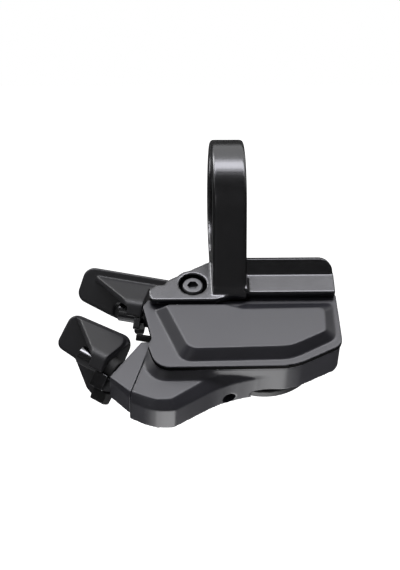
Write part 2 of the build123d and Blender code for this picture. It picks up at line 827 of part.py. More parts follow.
with BuildPart() as battery_cap:
    with BuildSketch(level(REAR_N - CAP_GAP)):
        with Locations((CELL_U, CELL_V)):
            Circle(BATTERY_CAP_R)
    extrude(amount=-BATTERY_CAP_THICK)
    chamfer(battery_cap.faces().sort_by(Axis(BODY.origin, BODY.z_dir))[0].edges(), length=0.6)
    with BuildSketch(level(REAR_N - CAP_GAP)):
        with Locations((CELL_U, CELL_V)):
            Circle(WELL_R - SPIGOT_CLEAR)
    extrude(amount=CAP_GAP + SPIGOT_TALL)
    with BuildSketch(level(REAR_N + 0.2)):
        with Locations((CELL_U, CELL_V)):
            Circle(WELL_R + 1.0)
            Circle(RING_R - 0.35, mode=Mode.SUBTRACT)
    extrude(amount=0.7, mode=Mode.SUBTRACT)
    with BuildSketch(level(REAR_N - CAP_GAP - BATTERY_CAP_THICK)):
        with Locations((CELL_U, CELL_V)):
            SlotOverall(13.0, 2.0)
    extrude(amount=1.1, mode=Mode.SUBTRACT)
battery_cap.part.label = "battery_cap"

with BuildPart() as battery_seal:
    with BuildSketch(level(REAR_N + 0.2)):
        with Locations((CELL_U, CELL_V)):
            Circle(RING_R + 0.3)
            Circle(RING_R - 0.35, mode=Mode.SUBTRACT)
    extrude(amount=0.7)
battery_seal.part.label = "battery_seal"

# Screws
with BuildPart() as cover_screws:
    with BuildSketch(level(REAR_N)):
        with Locations(*COVER_SCREWS):
            Circle(SCREW_HEAD_R - 0.05)
    extrude(amount=SCREW_HEAD_TALL)
    with BuildSketch(level(REAR_N)):
        with Locations(*COVER_SCREWS):
            Circle(SCREW_R)
    extrude(amount=PARTING_N + 1.0 - REAR_N)
    with BuildSketch(level(REAR_N)):
        with Locations(*COVER_SCREWS):
            RegularPolygon(0.65, 6)
    extrude(amount=0.6, mode=Mode.SUBTRACT)
cover_screws.part.label = "cover_screws"

with BuildPart() as bracket_screws:
    with BuildSketch(level(DECK_REAR)):
        with Locations(*BRACKET_SCREWS):
            Circle(SCREW_HEAD_R)
    extrude(amount=-SCREW_HEAD_TALL)
    with BuildSketch(level(DECK_REAR)):
        with Locations(*BRACKET_SCREWS):
            Circle(SCREW_R)
    extrude(amount=DECK_UNDER + 2.1 - DECK_REAR)
    with BuildSketch(level(DECK_REAR - SCREW_HEAD_TALL)):
        with Locations(*BRACKET_SCREWS):
            RegularPolygon(0.65, 6)
    extrude(amount=0.6, mode=Mode.SUBTRACT)
bracket_screws.part.label = "bracket_screws"

with BuildPart() as cap_screw:
    with BuildSketch(shaft_plane(LOWER, -0.05)):
        with Locations((CAP_SCREW_Q, CAP_SCREW_H)):
            Circle(SCREW_HEAD_R - 0.05)
    extrude(amount=SCREW_HEAD_TALL - 0.05)
    with BuildSketch(shaft_plane(LOWER, -SCREW_HEAD_TALL)):
        with Locations((CAP_SCREW_Q, CAP_SCREW_H)):
            Circle(SCREW_R)
    extrude(amount=CAP_SCREW_LONG - SCREW_HEAD_TALL - 0.1)
    with BuildSketch(shaft_plane(LOWER, 0)):
        with Locations((CAP_SCREW_Q, CAP_SCREW_H)):
            RegularPolygon(0.65, 6)
    extrude(amount=0.6, mode=Mode.SUBTRACT)
cap_screw.part.label = "cap_screw"

with BuildPart() as side_screw:
    with BuildSketch(SIDE_HOLE.offset(-SIDE_DEEP)):
        Circle(SIDE_R)
    extrude(amount=SIDE_DEEP - SIDE_SUNK)
    with BuildSketch(SIDE_HOLE.offset(-SIDE_SUNK)):
        RegularPolygon(0.7, 6)
    extrude(amount=-1.0, mode=Mode.SUBTRACT)
side_screw.part.label = "side_screw"

# Bushes and shafts
with BuildPart() as upper_bush:
    with BuildSketch(shaft_plane(UPPER, UPPER_FACE)):
        Circle(BUSH_R)
        Circle(SHAFT_R + SHAFT_CLEAR, mode=Mode.SUBTRACT)
    extrude(amount=UPPER_FACE - UPPER_STEP)
upper_bush.part.label = "upper_bush"

with BuildPart() as lower_bush:
    with BuildSketch(shaft_plane(LOWER, LOWER_FACE)):
        Circle(BUSH_R)
        Circle(SHAFT_R + SHAFT_CLEAR, mode=Mode.SUBTRACT)
    extrude(amount=LOWER_FACE - LOWER_STEP)
lower_bush.part.label = "lower_bush"

with BuildPart() as upper_shaft:
    with BuildSketch(shaft_plane(UPPER, UPPER_OUT)):
        Circle(SHAFT_R)
    extrude(amount=UPPER_OUT - UPPER_STEP)
    chamfer(upper_shaft.faces().sort_by(Axis(UPPER.origin, UPPER.z_dir))[-1].edges(), length=0.3)
    with BuildSketch(shaft_plane(UPPER, UPPER_STEP)):
        Circle(SHAFT_NECK_R)
    extrude(amount=UPPER_STEP - UPPER_END)
upper_shaft.part.label = "upper_shaft"

with BuildPart() as lower_shaft:
    with BuildSketch(shaft_plane(LOWER, LOWER_OUT)):
        Circle(SHAFT_R)
    extrude(amount=LOWER_OUT - LOWER_STEP)
    chamfer(lower_shaft.faces().sort_by(Axis(LOWER.origin, LOWER.z_dir))[-1].edges(), length=0.3)
    with BuildSketch(shaft_plane(LOWER, LOWER_STEP)):
        Circle(SHAFT_NECK_R)
    extrude(amount=LOWER_STEP - LOWER_END)
lower_shaft.part.label = "lower_shaft"

# Cams inside: hub on the shaft and a finger over the switch
with BuildPart() as upper_cam:
    with BuildSketch(shaft_plane(UPPER, UPPER_TAIL + CAM_BACK + CAM_WIDE)):
        Circle(HUB_R)
        with Locations((-2.8, 2.0)):
            Rectangle(5.6, 0.8)
        Circle(SHAFT_NECK_R, mode=Mode.SUBTRACT)
    extrude(amount=CAM_WIDE)
upper_cam.part.label = "upper_cam"

with BuildPart() as lower_cam:
    with BuildSketch(shaft_plane(LOWER, LOWER_TAIL + CAM_BACK + CAM_WIDE)):
        Circle(HUB_R)
        with Locations((-1.9, 0.1)):
            Rectangle(3.8, 1.0)
        Circle(SHAFT_NECK_R, mode=Mode.SUBTRACT)
    extrude(amount=CAM_WIDE)
lower_cam.part.label = "lower_cam"

# Return springs wound round the necks of the shafts
with BuildPart() as upper_spring:
    with BuildLine() as upper_coil:
        Helix(
            pitch=COIL_PITCH,
            height=UPPER_COIL,
            radius=COIL_R,
            center=UPPER.from_local_coords((0, 0, UPPER_TAIL + CAM_BACK + CAM_WIDE + WIRE_R)),
            direction=UPPER.z_dir,
        )
    with BuildSketch(Plane(origin=upper_coil.line @ 0, z_dir=upper_coil.line % 0)):
        Circle(WIRE_R)
    sweep()
upper_spring.part.label = "upper_spring"

with BuildPart() as lower_spring:
    with BuildLine() as lower_coil:
        Helix(
            pitch=COIL_PITCH,
            height=LOWER_COIL,
            radius=COIL_R,
            center=LOWER.from_local_coords((0, 0, LOWER_TAIL + CAM_BACK + CAM_WIDE + WIRE_R)),
            direction=LOWER.z_dir,
        )
    with BuildSketch(Plane(origin=lower_coil.line @ 0, z_dir=lower_coil.line % 0)):
        Circle(WIRE_R)
    sweep()
lower_spring.part.label = "lower_spring"

# Upper paddle: thumb pad, hood over the shaft and the block that grips it
with BuildPart() as upper_hood:
    with BuildSketch(UPPER.offset(END_GAP)):
        outline([
            (PAD_FRONT - 0.2, UPPER_RIDGE, 0.0),
            (HOOD_FRONT, HOOD_FOLD, HOOD_FOLD_R),
            (HOOD_FRONT, UPPER_HEM, 0.3),
            (HOOD_FRONT - HOOD_WALL, UPPER_HEM, 0.3),
            (HOOD_FRONT - HOOD_WALL, HOOD_FOLD - ROOF, 0.6),
            (PAD_FRONT - 0.2, UPPER_RIDGE - ROOF - 0.3, 0.0),
        ])
    extrude(amount=14.0)
    with BuildSketch(plan_plane(UPPER, -5.0)):
        outline([
            (PAD_FRONT - 0.3, -12.8, 0.0),
            (HOOD_FRONT + 1.0, -2.4, 0.0),
            (HOOD_FRONT + 1.0, -20.0, 0.0),
            (PAD_FRONT - 0.3, -20.0, 0.0),
        ])
    extrude(amount=20.0, mode=Mode.SUBTRACT)
    # the wall stops short of the roof's edge and leaves the shaft's end open
    with BuildSketch(UPPER.offset(UPPER_WALL_END)):
        outline([
            (PAD_FRONT, UPPER_RIDGE - ROOF_EDGE, 0.0),
            (HOOD_FRONT + 1.0, HOOD_FOLD - ROOF_EDGE - 0.6, 0.0),
            (HOOD_FRONT + 1.0, -4.0, 0.0),
            (PAD_FRONT, -4.0, 0.0),
        ])
    extrude(amount=15.0, mode=Mode.SUBTRACT)

with BuildPart() as upper_tail:
    with BuildSketch(UPPER.offset(TAIL_END)):
        outline([
            (PAD_FRONT - 0.2, UPPER_RIDGE, 0.0),
            (-2.4, 6.1, 0.0),
            (-2.4, 5.3, 0.0),
            (PAD_FRONT - 0.2, 5.5, 0.0),
        ])
    extrude(amount=END_GAP - TAIL_END + 0.2)

with BuildPart() as upper_pad:
    with BuildSketch(face_plane(UPPER, PAD_BACK)):
        outline([(-z, h, r) for z, h, r in UPPER_PAD])
    extrude(amount=PAD_THICK)
    rims = upper_pad.faces().filter_by(Axis(UPPER.origin, UPPER.x_dir)).edges()
    fillet(rims, radius=PAD_SOFT)

with BuildPart() as upper_paddle:
    add(upper_pad.part)
    add(upper_hood.part)
    add(upper_tail.part)
    with BuildSketch(UPPER.offset(END_GAP)):
        outline([
            (PAD_FRONT - 0.2, UPPER_HEM, 0.0),
            (HOOD_FRONT - 0.5, UPPER_HEM, 0.0),
            (HOOD_FRONT - 0.5, HOOD_FOLD - 0.8, 0.0),
            (PAD_FRONT - 0.2, UPPER_RIDGE - 1.0, 0.0),
        ])
    extrude(amount=2.9)
    with BuildSketch(UPPER.offset(END_GAP)):
        Circle(SHAFT_R)
    extrude(amount=UPPER_OUT - END_GAP, mode=Mode.SUBTRACT)
    with BuildSketch(plan_plane(UPPER, UPPER_HEM)):
        with Locations(*[(e, -UPPER_PINCH) for e in PINCH_AT]):
            Circle(PINCH_R)
    extrude(amount=PINCH_TOP - UPPER_HEM, mode=Mode.SUBTRACT)
    with BuildSketch(face_plane(UPPER, PAD_FRONT)):
        outline([
            (-7.4, 1.8, 1.2),
            (-4.0, 1.8, 0.0),
            (-4.0, -3.0, 0.0),
            (-7.4, -3.0, 0.0),
        ])
    extrude(amount=-0.9, mode=Mode.SUBTRACT)
upper_paddle.part.label = "upper_paddle"

# Lower paddle, built the same way with a longer pad
with BuildPart() as lower_hood:
    with BuildSketch(LOWER.offset(LOWER_CREASE)):
        outline([
            (PAD_FRONT - 0.2, LOWER_RIDGE, 0.0),
            (HOOD_FRONT, HOOD_FOLD, HOOD_FOLD_R),
            (HOOD_FRONT, LOWER_HEM, 0.3),
            (HOOD_FRONT - HOOD_WALL, LOWER_HEM, 0.3),
            (HOOD_FRONT - HOOD_WALL, HOOD_FOLD - ROOF, 0.6),
            (PAD_FRONT - 0.2, LOWER_RIDGE - ROOF - 0.3, 0.0),
        ])
    extrude(amount=15.3)
    with BuildSketch(plan_plane(LOWER, -5.0)):
        outline([
            (PAD_FRONT - 0.3, -17.6, 0.0),
            (HOOD_FRONT + 1.0, -4.9, 0.0),
            (HOOD_FRONT + 1.0, -25.0, 0.0),
            (PAD_FRONT - 0.3, -25.0, 0.0),
        ])
    extrude(amount=20.0, mode=Mode.SUBTRACT)
    # the wall stops short of the roof's edge and leaves the shaft's end open
    with BuildSketch(LOWER.offset(LOWER_WALL_END)):
        outline([
            (PAD_FRONT, LOWER_RIDGE - ROOF_EDGE, 0.0),
            (HOOD_FRONT + 1.0, HOOD_FOLD - ROOF_EDGE - 0.6, 0.0),
            (HOOD_FRONT + 1.0, -4.0, 0.0),
            (PAD_FRONT, -4.0, 0.0),
        ])
    extrude(amount=18.0, mode=Mode.SUBTRACT)
    with BuildSketch(face_plane(LOWER, PAD_BACK)):
        outline([(-z, h, r) for z, h, r in LOWER_PAD])
        offset(amount=-0.3)
    extrude(amount=14.0, mode=Mode.INTERSECT)

with BuildPart() as lower_pad:
    with BuildSketch(face_plane(LOWER, PAD_BACK)):
        outline([(-z, h, r) for z, h, r in LOWER_PAD])
    extrude(amount=PAD_THICK)
    rims = lower_pad.faces().filter_by(Axis(LOWER.origin, LOWER.x_dir)).edges()
    fillet(rims, radius=PAD_SOFT)

with BuildPart() as lower_paddle:
    add(lower_pad.part)
    add(lower_hood.part)
    with BuildSketch(LOWER.offset(LOWER_CREASE + 0.3)):
        outline([
            (PAD_FRONT - 0.2, LOWER_HEM, 0.0),
            (HOOD_FRONT - 0.5, LOWER_HEM, 0.0),
            (HOOD_FRONT - 0.5, HOOD_FOLD - 0.8, 0.0),
            (PAD_FRONT - 0.2, LOWER_RIDGE - 1.0, 0.0),
        ])
    extrude(amount=2.9)
    # half collar over the shaft, up to the pod
    with BuildSketch(LOWER.offset(0.5)):
        Circle(COLLAR_R)
        with Locations((0, LOWER_HEM + COLLAR_R)):
            Rectangle(2 * COLLAR_R, 2 * COLLAR_R, mode=Mode.INTERSECT)
    extrude(amount=LOWER_CREASE + 0.5)
    with BuildSketch(LOWER.offset(0.0)):
        Circle(SHAFT_R)
    extrude(amount=LOWER_OUT + 0.5, mode=Mode.SUBTRACT)
    with BuildSketch(plan_plane(LOWER, LOWER_HEM)):
        with Locations(*[(e, -LOWER_PINCH) for e in PINCH_AT]):
            Circle(PINCH_R)
    extrude(amount=PINCH_TOP - LOWER_HEM, mode=Mode.SUBTRACT)
lower_paddle.part.label = "lower_paddle"

# Clamp shoes under the shafts, their screws and rubber buffers
with BuildPart() as upper_shoe:
    with BuildSketch(UPPER):
        outline([
            (-3.5, UPPER_HEM, 0.0),
            (3.5, UPPER_HEM, 0.0),
            (3.5, -3.2, 0.4),
            (-3.5, -3.2, 0.4),
        ])
        Circle(SHAFT_R, mode=Mode.SUBTRACT)
    extrude(amount=1.5)
    with BuildSketch(plan_plane(UPPER, -5.0)):
        with Locations(*[(e, -UPPER_PINCH) for e in PINCH_AT]):
            Circle(PINCH_R)
    extrude(amount=6.0, mode=Mode.SUBTRACT)
upper_shoe.part.label = "upper_shoe"

with BuildPart() as lower_shoe:
    with BuildSketch(LOWER.offset(LOWER_GAP)):
        outline([
            (-3.5, LOWER_HEM, 0.0),
            (3.5, LOWER_HEM, 0.0),
            (3.5, -4.3, 0.4),
            (1.4, -4.6, 0.0),
            (-2.4, -4.6, 0.0),
            (-3.5, -4.2, 0.4),
        ])
        Circle(SHAFT_R, mode=Mode.SUBTRACT)
    extrude(amount=3.2)
    with BuildSketch(plan_plane(LOWER, -5.0)):
        with Locations(*[(e, -LOWER_PINCH) for e in PINCH_AT]):
            Circle(PINCH_R)
    extrude(amount=6.0, mode=Mode.SUBTRACT)
lower_shoe.part.label = "lower_shoe"

with BuildPart() as upper_pinch_screws:
    with BuildSketch(plan_plane(UPPER, PINCH_FOOT)):
        with Locations(*[(e, -UPPER_PINCH) for e in PINCH_AT]):
            Circle(PINCH_R)
    extrude(amount=PINCH_TOP - 0.1 - PINCH_FOOT)
    with BuildSketch(plan_plane(UPPER, PINCH_FOOT)):
        with Locations(*[(e, -UPPER_PINCH) for e in PINCH_AT]):
            RegularPolygon(0.28, 6)
    extrude(amount=0.6, mode=Mode.SUBTRACT)
upper_pinch_screws.part.label = "upper_pinch_screws"

with BuildPart() as lower_pinch_screws:
    with BuildSketch(plan_plane(LOWER, PINCH_FOOT)):
        with Locations(*[(e, -LOWER_PINCH) for e in PINCH_AT]):
            Circle(PINCH_R)
    extrude(amount=PINCH_TOP - 0.1 - PINCH_FOOT)
    with BuildSketch(plan_plane(LOWER, PINCH_FOOT)):
        with Locations(*[(e, -LOWER_PINCH) for e in PINCH_AT]):
            RegularPolygon(0.28, 6)
    extrude(amount=0.6, mode=Mode.SUBTRACT)
lower_pinch_screws.part.label = "lower_pinch_screws"

with BuildPart() as upper_buffer:
    with BuildSketch(UPPER.offset(STOP_IN)):
        outline([
            (STOP_BACK, STOP_TOP, 0.0),
            (3.3, STOP_TOP, 0.3),
            (3.1, -5.6, 0.4),
            (STOP_BACK, -5.6, 0.0),
        ])
    extrude(amount=3.3)
upper_buffer.part.label = "upper_buffer"

with BuildPart() as lower_buffer:
    with BuildSketch(LOWER.offset(0.4)):
        outline([
            (-2.4, -4.6, 0.0),
            (1.4, -4.6, 0.0),
            (1.0, -7.2, 0.7),
            (-2.2, -7.2, 0.7),
        ])
    extrude(amount=3.4)
lower_buffer.part.label = "lower_buffer"

os.makedirs("parts", exist_ok=True)
export_step(clamp_bracket.part, "parts/clamp_bracket.step")
export_step(clamp_bolt.part, "parts/clamp_bolt.step")
export_step(front_cover.part, "parts/front_cover.step")
export_step(main_housing.part, "parts/main_housing.step")
export_step(pivot_cap.part, "parts/pivot_cap.step")
export_step(cover_seal.part, "parts/cover_seal.step")
export_step(circuit_board.part, "parts/circuit_board.step")
export_step(radio_chips.part, "parts/radio_chips.step")
export_step(upper_switch.part, "parts/upper_switch.step")
export_step(lower_switch.part, "parts/lower_switch.step")
export_step(battery_contact.part, "parts/battery_contact.step")
export_step(coin_cell.part, "parts/coin_cell.step")
export_step(battery_cap.part, "parts/battery_cap.step")
export_step(battery_seal.part, "parts/battery_seal.step")
export_step(cover_screws.part, "parts/cover_screws.step")
export_step(bracket_screws.part, "parts/bracket_screws.step")
export_step(cap_screw.part, "parts/cap_screw.step")
export_step(side_screw.part, "parts/side_screw.step")
export_step(upper_bush.part, "parts/upper_bush.step")
export_step(lower_bush.part, "parts/lower_bush.step")
export_step(upper_shaft.part, "parts/upper_shaft.step")
export_step(lower_shaft.part, "parts/lower_shaft.step")
export_step(upper_cam.part, "parts/upper_cam.step")
export_step(lower_cam.part, "parts/lower_cam.step")
export_step(upper_spring.part, "parts/upper_spring.step")
export_step(lower_spring.part, "parts/lower_spring.step")
export_step(upper_paddle.part, "parts/upper_paddle.step")
export_step(lower_paddle.part, "parts/lower_paddle.step")
export_step(upper_shoe.part, "parts/upper_shoe.step")
export_step(lower_shoe.part, "parts/lower_shoe.step")
export_step(upper_pinch_screws.part, "parts/upper_pinch_screws.step")
export_step(lower_pinch_screws.part, "parts/lower_pinch_screws.step")
export_step(upper_buffer.part, "parts/upper_buffer.step")
export_step(lower_buffer.part, "parts/lower_buffer.step")
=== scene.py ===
import logging
from collections.abc import Callable
from dataclasses import dataclass
from enum import Enum
from math import copysign, cos, hypot, pi, radians, sin, sqrt, tan

import bmesh
import bpy
from mathutils import Matrix, Vector


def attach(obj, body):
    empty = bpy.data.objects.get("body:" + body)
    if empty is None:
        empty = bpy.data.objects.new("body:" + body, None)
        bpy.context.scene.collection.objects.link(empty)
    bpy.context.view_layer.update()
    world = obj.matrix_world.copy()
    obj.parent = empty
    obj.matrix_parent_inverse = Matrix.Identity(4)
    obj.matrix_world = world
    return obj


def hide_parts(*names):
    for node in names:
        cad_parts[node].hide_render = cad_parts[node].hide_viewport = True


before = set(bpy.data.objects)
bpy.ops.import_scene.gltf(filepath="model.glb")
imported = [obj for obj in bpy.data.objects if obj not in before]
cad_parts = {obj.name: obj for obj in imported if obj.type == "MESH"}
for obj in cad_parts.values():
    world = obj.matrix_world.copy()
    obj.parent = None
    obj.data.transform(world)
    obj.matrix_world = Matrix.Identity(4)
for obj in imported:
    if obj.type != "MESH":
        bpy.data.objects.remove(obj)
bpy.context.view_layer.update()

LOG = logging.getLogger("shifter")
MM = 0.001
WELD_MM = 0.002  # corners of a solid that lie closer than this are one
HEX = 6  # sides of a socket and of a thread's ridge
EDGE_SHEEN_LIFT = 0.01  # grey that a fully sheened edge gains, a painted highlight
EDGE_SHEEN_BEND = (0.52, 0.62)  # pointiness at which the painted edge highlight starts and is full
MARK_STRETCH = 6  # how much coarser than the grain turning marks are drawn
MIX_SHARE, MIX_A, MIX_B, MIX_OUT = 0, 6, 7, 2  # sockets of a colour mix
CASE_BLACK = (0.024, 0.0238, 0.0305)
Colour = tuple[float, float, float]
Place = tuple[float, float, float]
Node = bpy.types.Node
NodeSocket = bpy.types.NodeSocket
NodeTree = bpy.types.NodeTree
Mesh = bpy.types.Mesh
Material = bpy.types.Material
BpyObject = bpy.types.Object


class Body(Enum):
    """The rigid bodies of the part."""

    BASE = "base"
    UPPER = "upper_lever"
    LOWER = "lower_lever"
    DOOR = "battery_door"


class Grain(Enum):
    """How a surface is broken up at close range."""

    SPARK = "spark eroded mould"
    BLAST = "bead blasted metal"
    TURNED = "lathe turned metal"
    SKIN = "rubber skin"


@dataclass(frozen=True)
class Axes:
    """A right-handed local frame, with its origin in millimetres.

    Attributes:
        origin: Place of the frame in the row frame, in millimetres.
        x: First axis.
        y: Second axis.
        z: Third axis.
    """

    origin: Vector
    x: Vector
    y: Vector
    z: Vector

    def matrix(self, depth: float = 0.0) -> Matrix:
        """Place a mesh drawn in millimetres in this frame.

        Args:
            depth: Shift along the third axis, in millimetres.

        Returns:
            The matrix from local millimetres to metres in the row frame.
        """
        place = Matrix((self.x, self.y, self.z)).transposed().to_4x4()
        place.translation = self.origin + self.z * depth
        return Matrix.Scale(MM, 4) @ place


@dataclass(frozen=True)
class Slope:
    """The tilt that the cover, the pod and the deck share.

    Attributes:
        tilt_deg: Height of the cover's normal above the horizon.
        lean_deg: Lean of the thumb pads out of the cover.
    """

    tilt_deg: float = 52.0
    lean_deg: float = 48.5

    def heading(self, u: float, v: float, n: float) -> Vector:
        """Turn a body direction into the row frame.

        Args:
            u: Share along the bar.
            v: Share up the slope.
            n: Share out of the cover.

        Returns:
            The direction in the row frame.
        """
        tilt = radians(self.tilt_deg)
        return Vector((u, v * sin(tilt) - n * cos(tilt), v * cos(tilt) + n * sin(tilt)))

    def body(self) -> Axes:
        """Axes along the bar, up the slope and out of the cover."""
        return Axes(Vector(), self.heading(1, 0, 0), self.heading(0, 1, 0), self.heading(0, 0, 1))

    def lever(self, at: Place, fan_deg: float) -> Axes:
        """Axes of a lever: to the front, up and outward along its shaft.

        Args:
            at: Pivot in body millimetres.
            fan_deg: Turn of the shaft in the plane of the cover.

        Returns:
            The lever's axes at its pivot.
        """
        lean, fan = radians(self.lean_deg), radians(fan_deg)
        front = self.heading(-cos(lean) * sin(fan), -cos(lean) * cos(fan), sin(lean))
        outward = self.heading(-cos(fan), sin(fan), 0)
        return Axes(self.heading(*at), front, outward.cross(front), outward)


SLOPE = Slope()
UPPER_AXES = SLOPE.lever(at=(-18.6, -22.25, -13.0), fan_deg=13.0)
LOWER_AXES = SLOPE.lever(at=(-23.8, -37.95, -14.25), fan_deg=35.0)


class NodeSheet:
    """A node tree that is filled in reading order."""

    def __init__(self, tree: NodeTree) -> None:
        """Keep the tree to fill.

        Args:
            tree: Shader or geometry tree.
        """
        self.tree = tree

    def add(self, kind: str, values: dict[str, object] | None = None, **fields: object) -> Node:
        """Add a node.

        Args:
            kind: The node's type name.
            values: Input values by socket name.
            fields: Attributes of the node.

        Returns:
            The new node.
        """
        node = self.tree.nodes.new(kind)
        for key, value in fields.items():
            setattr(node, key, value)
        for key, value in (values or {}).items():
            node.inputs[key].default_value = value
        return node

    def join(self, source: NodeSocket, target: NodeSocket) -> None:
        """Link an output to an input."""
        self.tree.links.new(source, target)


@dataclass(frozen=True)
class Finish:
    """A surface finish with its colour, gloss and close-range grain.

    Attributes:
        name: Name of the material.
        colour: Base colour, linear.
        roughness: Mean roughness.
        metallic: Share of metal.
        specular: Specular level.
        grain: Kind of close-range break-up.
        grain_mm: Size of the grain.
        depth_mm: Height of the grain.
        drift: Share by which colour and roughness drift over the surface.
        drift_mm: Size of that drift.
        rounding_and_sheen: Share by which sharp edges are painted lighter, a painted highlight.
        turn: Axis that turning marks run round.
    """

    name: str
    colour: Colour
    roughness: float
    metallic: float = 0.0
    specular: float = 0.5
    grain: Grain = Grain.SPARK
    grain_mm: float = 0.12
    depth_mm: float = 0.006
    drift: float = 0.10
    drift_mm: float = 5.0
    rounding_and_sheen: float = 0.25
    turn: Vector | None = None

    def material(self) -> Material:
        """Make the material once and hand it out again after that."""
        made = bpy.data.materials.get(self.name)
        return made or self._make()

    def _make(self) -> Material:
        """Build the shader nodes.

        Returns:
            The new material.
        """
        made = bpy.data.materials.new(self.name)
        made.use_nodes = True
        made.node_tree.nodes.clear()
        sheet = NodeSheet(made.node_tree)
        place = sheet.add("ShaderNodeTexCoord").outputs["Object"]
        shader = sheet.add("ShaderNodeBsdfPrincipled", {
            "Metallic": self.metallic,
            "Specular IOR Level": self.specular,
        })
        drift = self._noise(sheet, place, self.drift_mm, detail=3.0)
        self._colour(sheet, drift, shader)
        rough = sheet.add("ShaderNodeMapRange", {
            "To Min": self.roughness * (1 - self.drift),
            "To Max": self.roughness * (1 + self.drift),
        })
        sheet.join(drift, rough.inputs["Value"])
        sheet.join(rough.outputs["Result"], shader.inputs["Roughness"])
        bump = sheet.add("ShaderNodeBump", {"Strength": 1.0, "Distance": self.depth_mm * MM})
        sheet.join(self._grain(sheet, place), bump.inputs["Height"])
        sheet.join(bump.outputs["Normal"], shader.inputs["Normal"])
        out = sheet.add("ShaderNodeOutputMaterial")
        sheet.join(shader.outputs["BSDF"], out.inputs["Surface"])
        return made

    def _noise(
        self, sheet: NodeSheet, place: NodeSocket, size_mm: float, detail: float
    ) -> NodeSocket:
        """Add a noise of a given size.

        Args:
            sheet: Tree to fill.
            place: Texture coordinates.
            size_mm: Size of one blotch.
            detail: Finer octaves.

        Returns:
            The noise value.
        """
        noise = sheet.add("ShaderNodeTexNoise", {"Scale": 1 / (size_mm * MM), "Detail": detail})
        sheet.join(place, noise.inputs["Vector"])
        return noise.outputs["Fac"]

    def _colour(
        self, sheet: NodeSheet, drift: NodeSocket, shader: Node
    ) -> None:
        """Drift the colour slowly and paint a highlight on the sharp edges.

        Args:
            sheet: Tree to fill.
            drift: Slow noise.
            shader: Shader that takes the colour.
        """
        dark = [c * (1 - self.drift) for c in self.colour]
        pale = [min(1.0, c * (1 + self.drift)) for c in self.colour]
        sheen_colour = [min(1.0, c * (1 + self.rounding_and_sheen) + EDGE_SHEEN_LIFT * self.rounding_and_sheen) for c in self.colour]
        base = sheet.add("ShaderNodeMix", data_type="RGBA")
        base.inputs[MIX_A].default_value = (*dark, 1)
        base.inputs[MIX_B].default_value = (*pale, 1)
        sheet.join(drift, base.inputs[MIX_SHARE])
        # painted highlight: edges that bend sharply are painted lighter, standing in for the
        # light they catch
        start, full = EDGE_SHEEN_BEND
        edge = sheet.add("ShaderNodeMapRange", {"From Min": start, "From Max": full})
        bend = sheet.add("ShaderNodeNewGeometry").outputs["Pointiness"]
        sheet.join(bend, edge.inputs["Value"])
        sheened = sheet.add("ShaderNodeMix", data_type="RGBA")
        sheened.inputs[MIX_B].default_value = (*sheen_colour, 1)
        sheet.join(edge.outputs["Result"], sheened.inputs[MIX_SHARE])
        sheet.join(base.outputs[MIX_OUT], sheened.inputs[MIX_A])
        sheet.join(sheened.outputs[MIX_OUT], shader.inputs["Base Color"])

    def _grain(self, sheet: NodeSheet, place: NodeSocket) -> NodeSocket:
        """Add the close-range grain.

        Args:
            sheet: Tree to fill.
            place: Texture coordinates.

        Returns:
            The height of the grain.
        """
        scale = 1 / (self.grain_mm * MM)
        if self.grain is Grain.BLAST:
            cells = sheet.add("ShaderNodeTexVoronoi", {"Scale": scale}, feature="SMOOTH_F1")
            sheet.join(place, cells.inputs["Vector"])
            return cells.outputs["Distance"]
        if self.grain is Grain.TURNED and self.turn is not None:
            turn = self.turn.rotation_difference(Vector((1, 0, 0))).to_euler()
            lay = sheet.add("ShaderNodeMapping", {"Rotation": turn})
            sheet.join(place, lay.inputs["Vector"])
            rings = sheet.add("ShaderNodeTexWave", {
                "Scale": scale / MARK_STRETCH, "Distortion": 0.6,
                "Detail": 2.0, "Detail Scale": 0.4,
            }, bands_direction="X")
            sheet.join(lay.outputs["Vector"], rings.inputs["Vector"])
            return rings.outputs["Fac"]
        octaves = 4.0 if self.grain is Grain.SPARK else 1.0
        return self._noise(sheet, place, self.grain_mm, octaves)


def case_moulding(name: str) -> Finish:
    """Black moulding of the case, under a given name."""
    return Finish(name, CASE_BLACK, 0.38, specular=0.75, depth_mm=0.002)


def blasted(name: str, colour: Colour, roughness: float, rounding_and_sheen: float = 0.25) -> Finish:
    """Bead blasted metal.

    Args:
        name: Name of the material.
        colour: Colour of the metal, linear.
        roughness: Mean roughness.
        rounding_and_sheen: Share by which sharp edges are painted lighter, a painted highlight.

    Returns:
        The finish.
    """
    return Finish(
        name, colour, roughness, metallic=1.0, grain=Grain.BLAST, depth_mm=0.001, rounding_and_sheen=rounding_and_sheen
    )


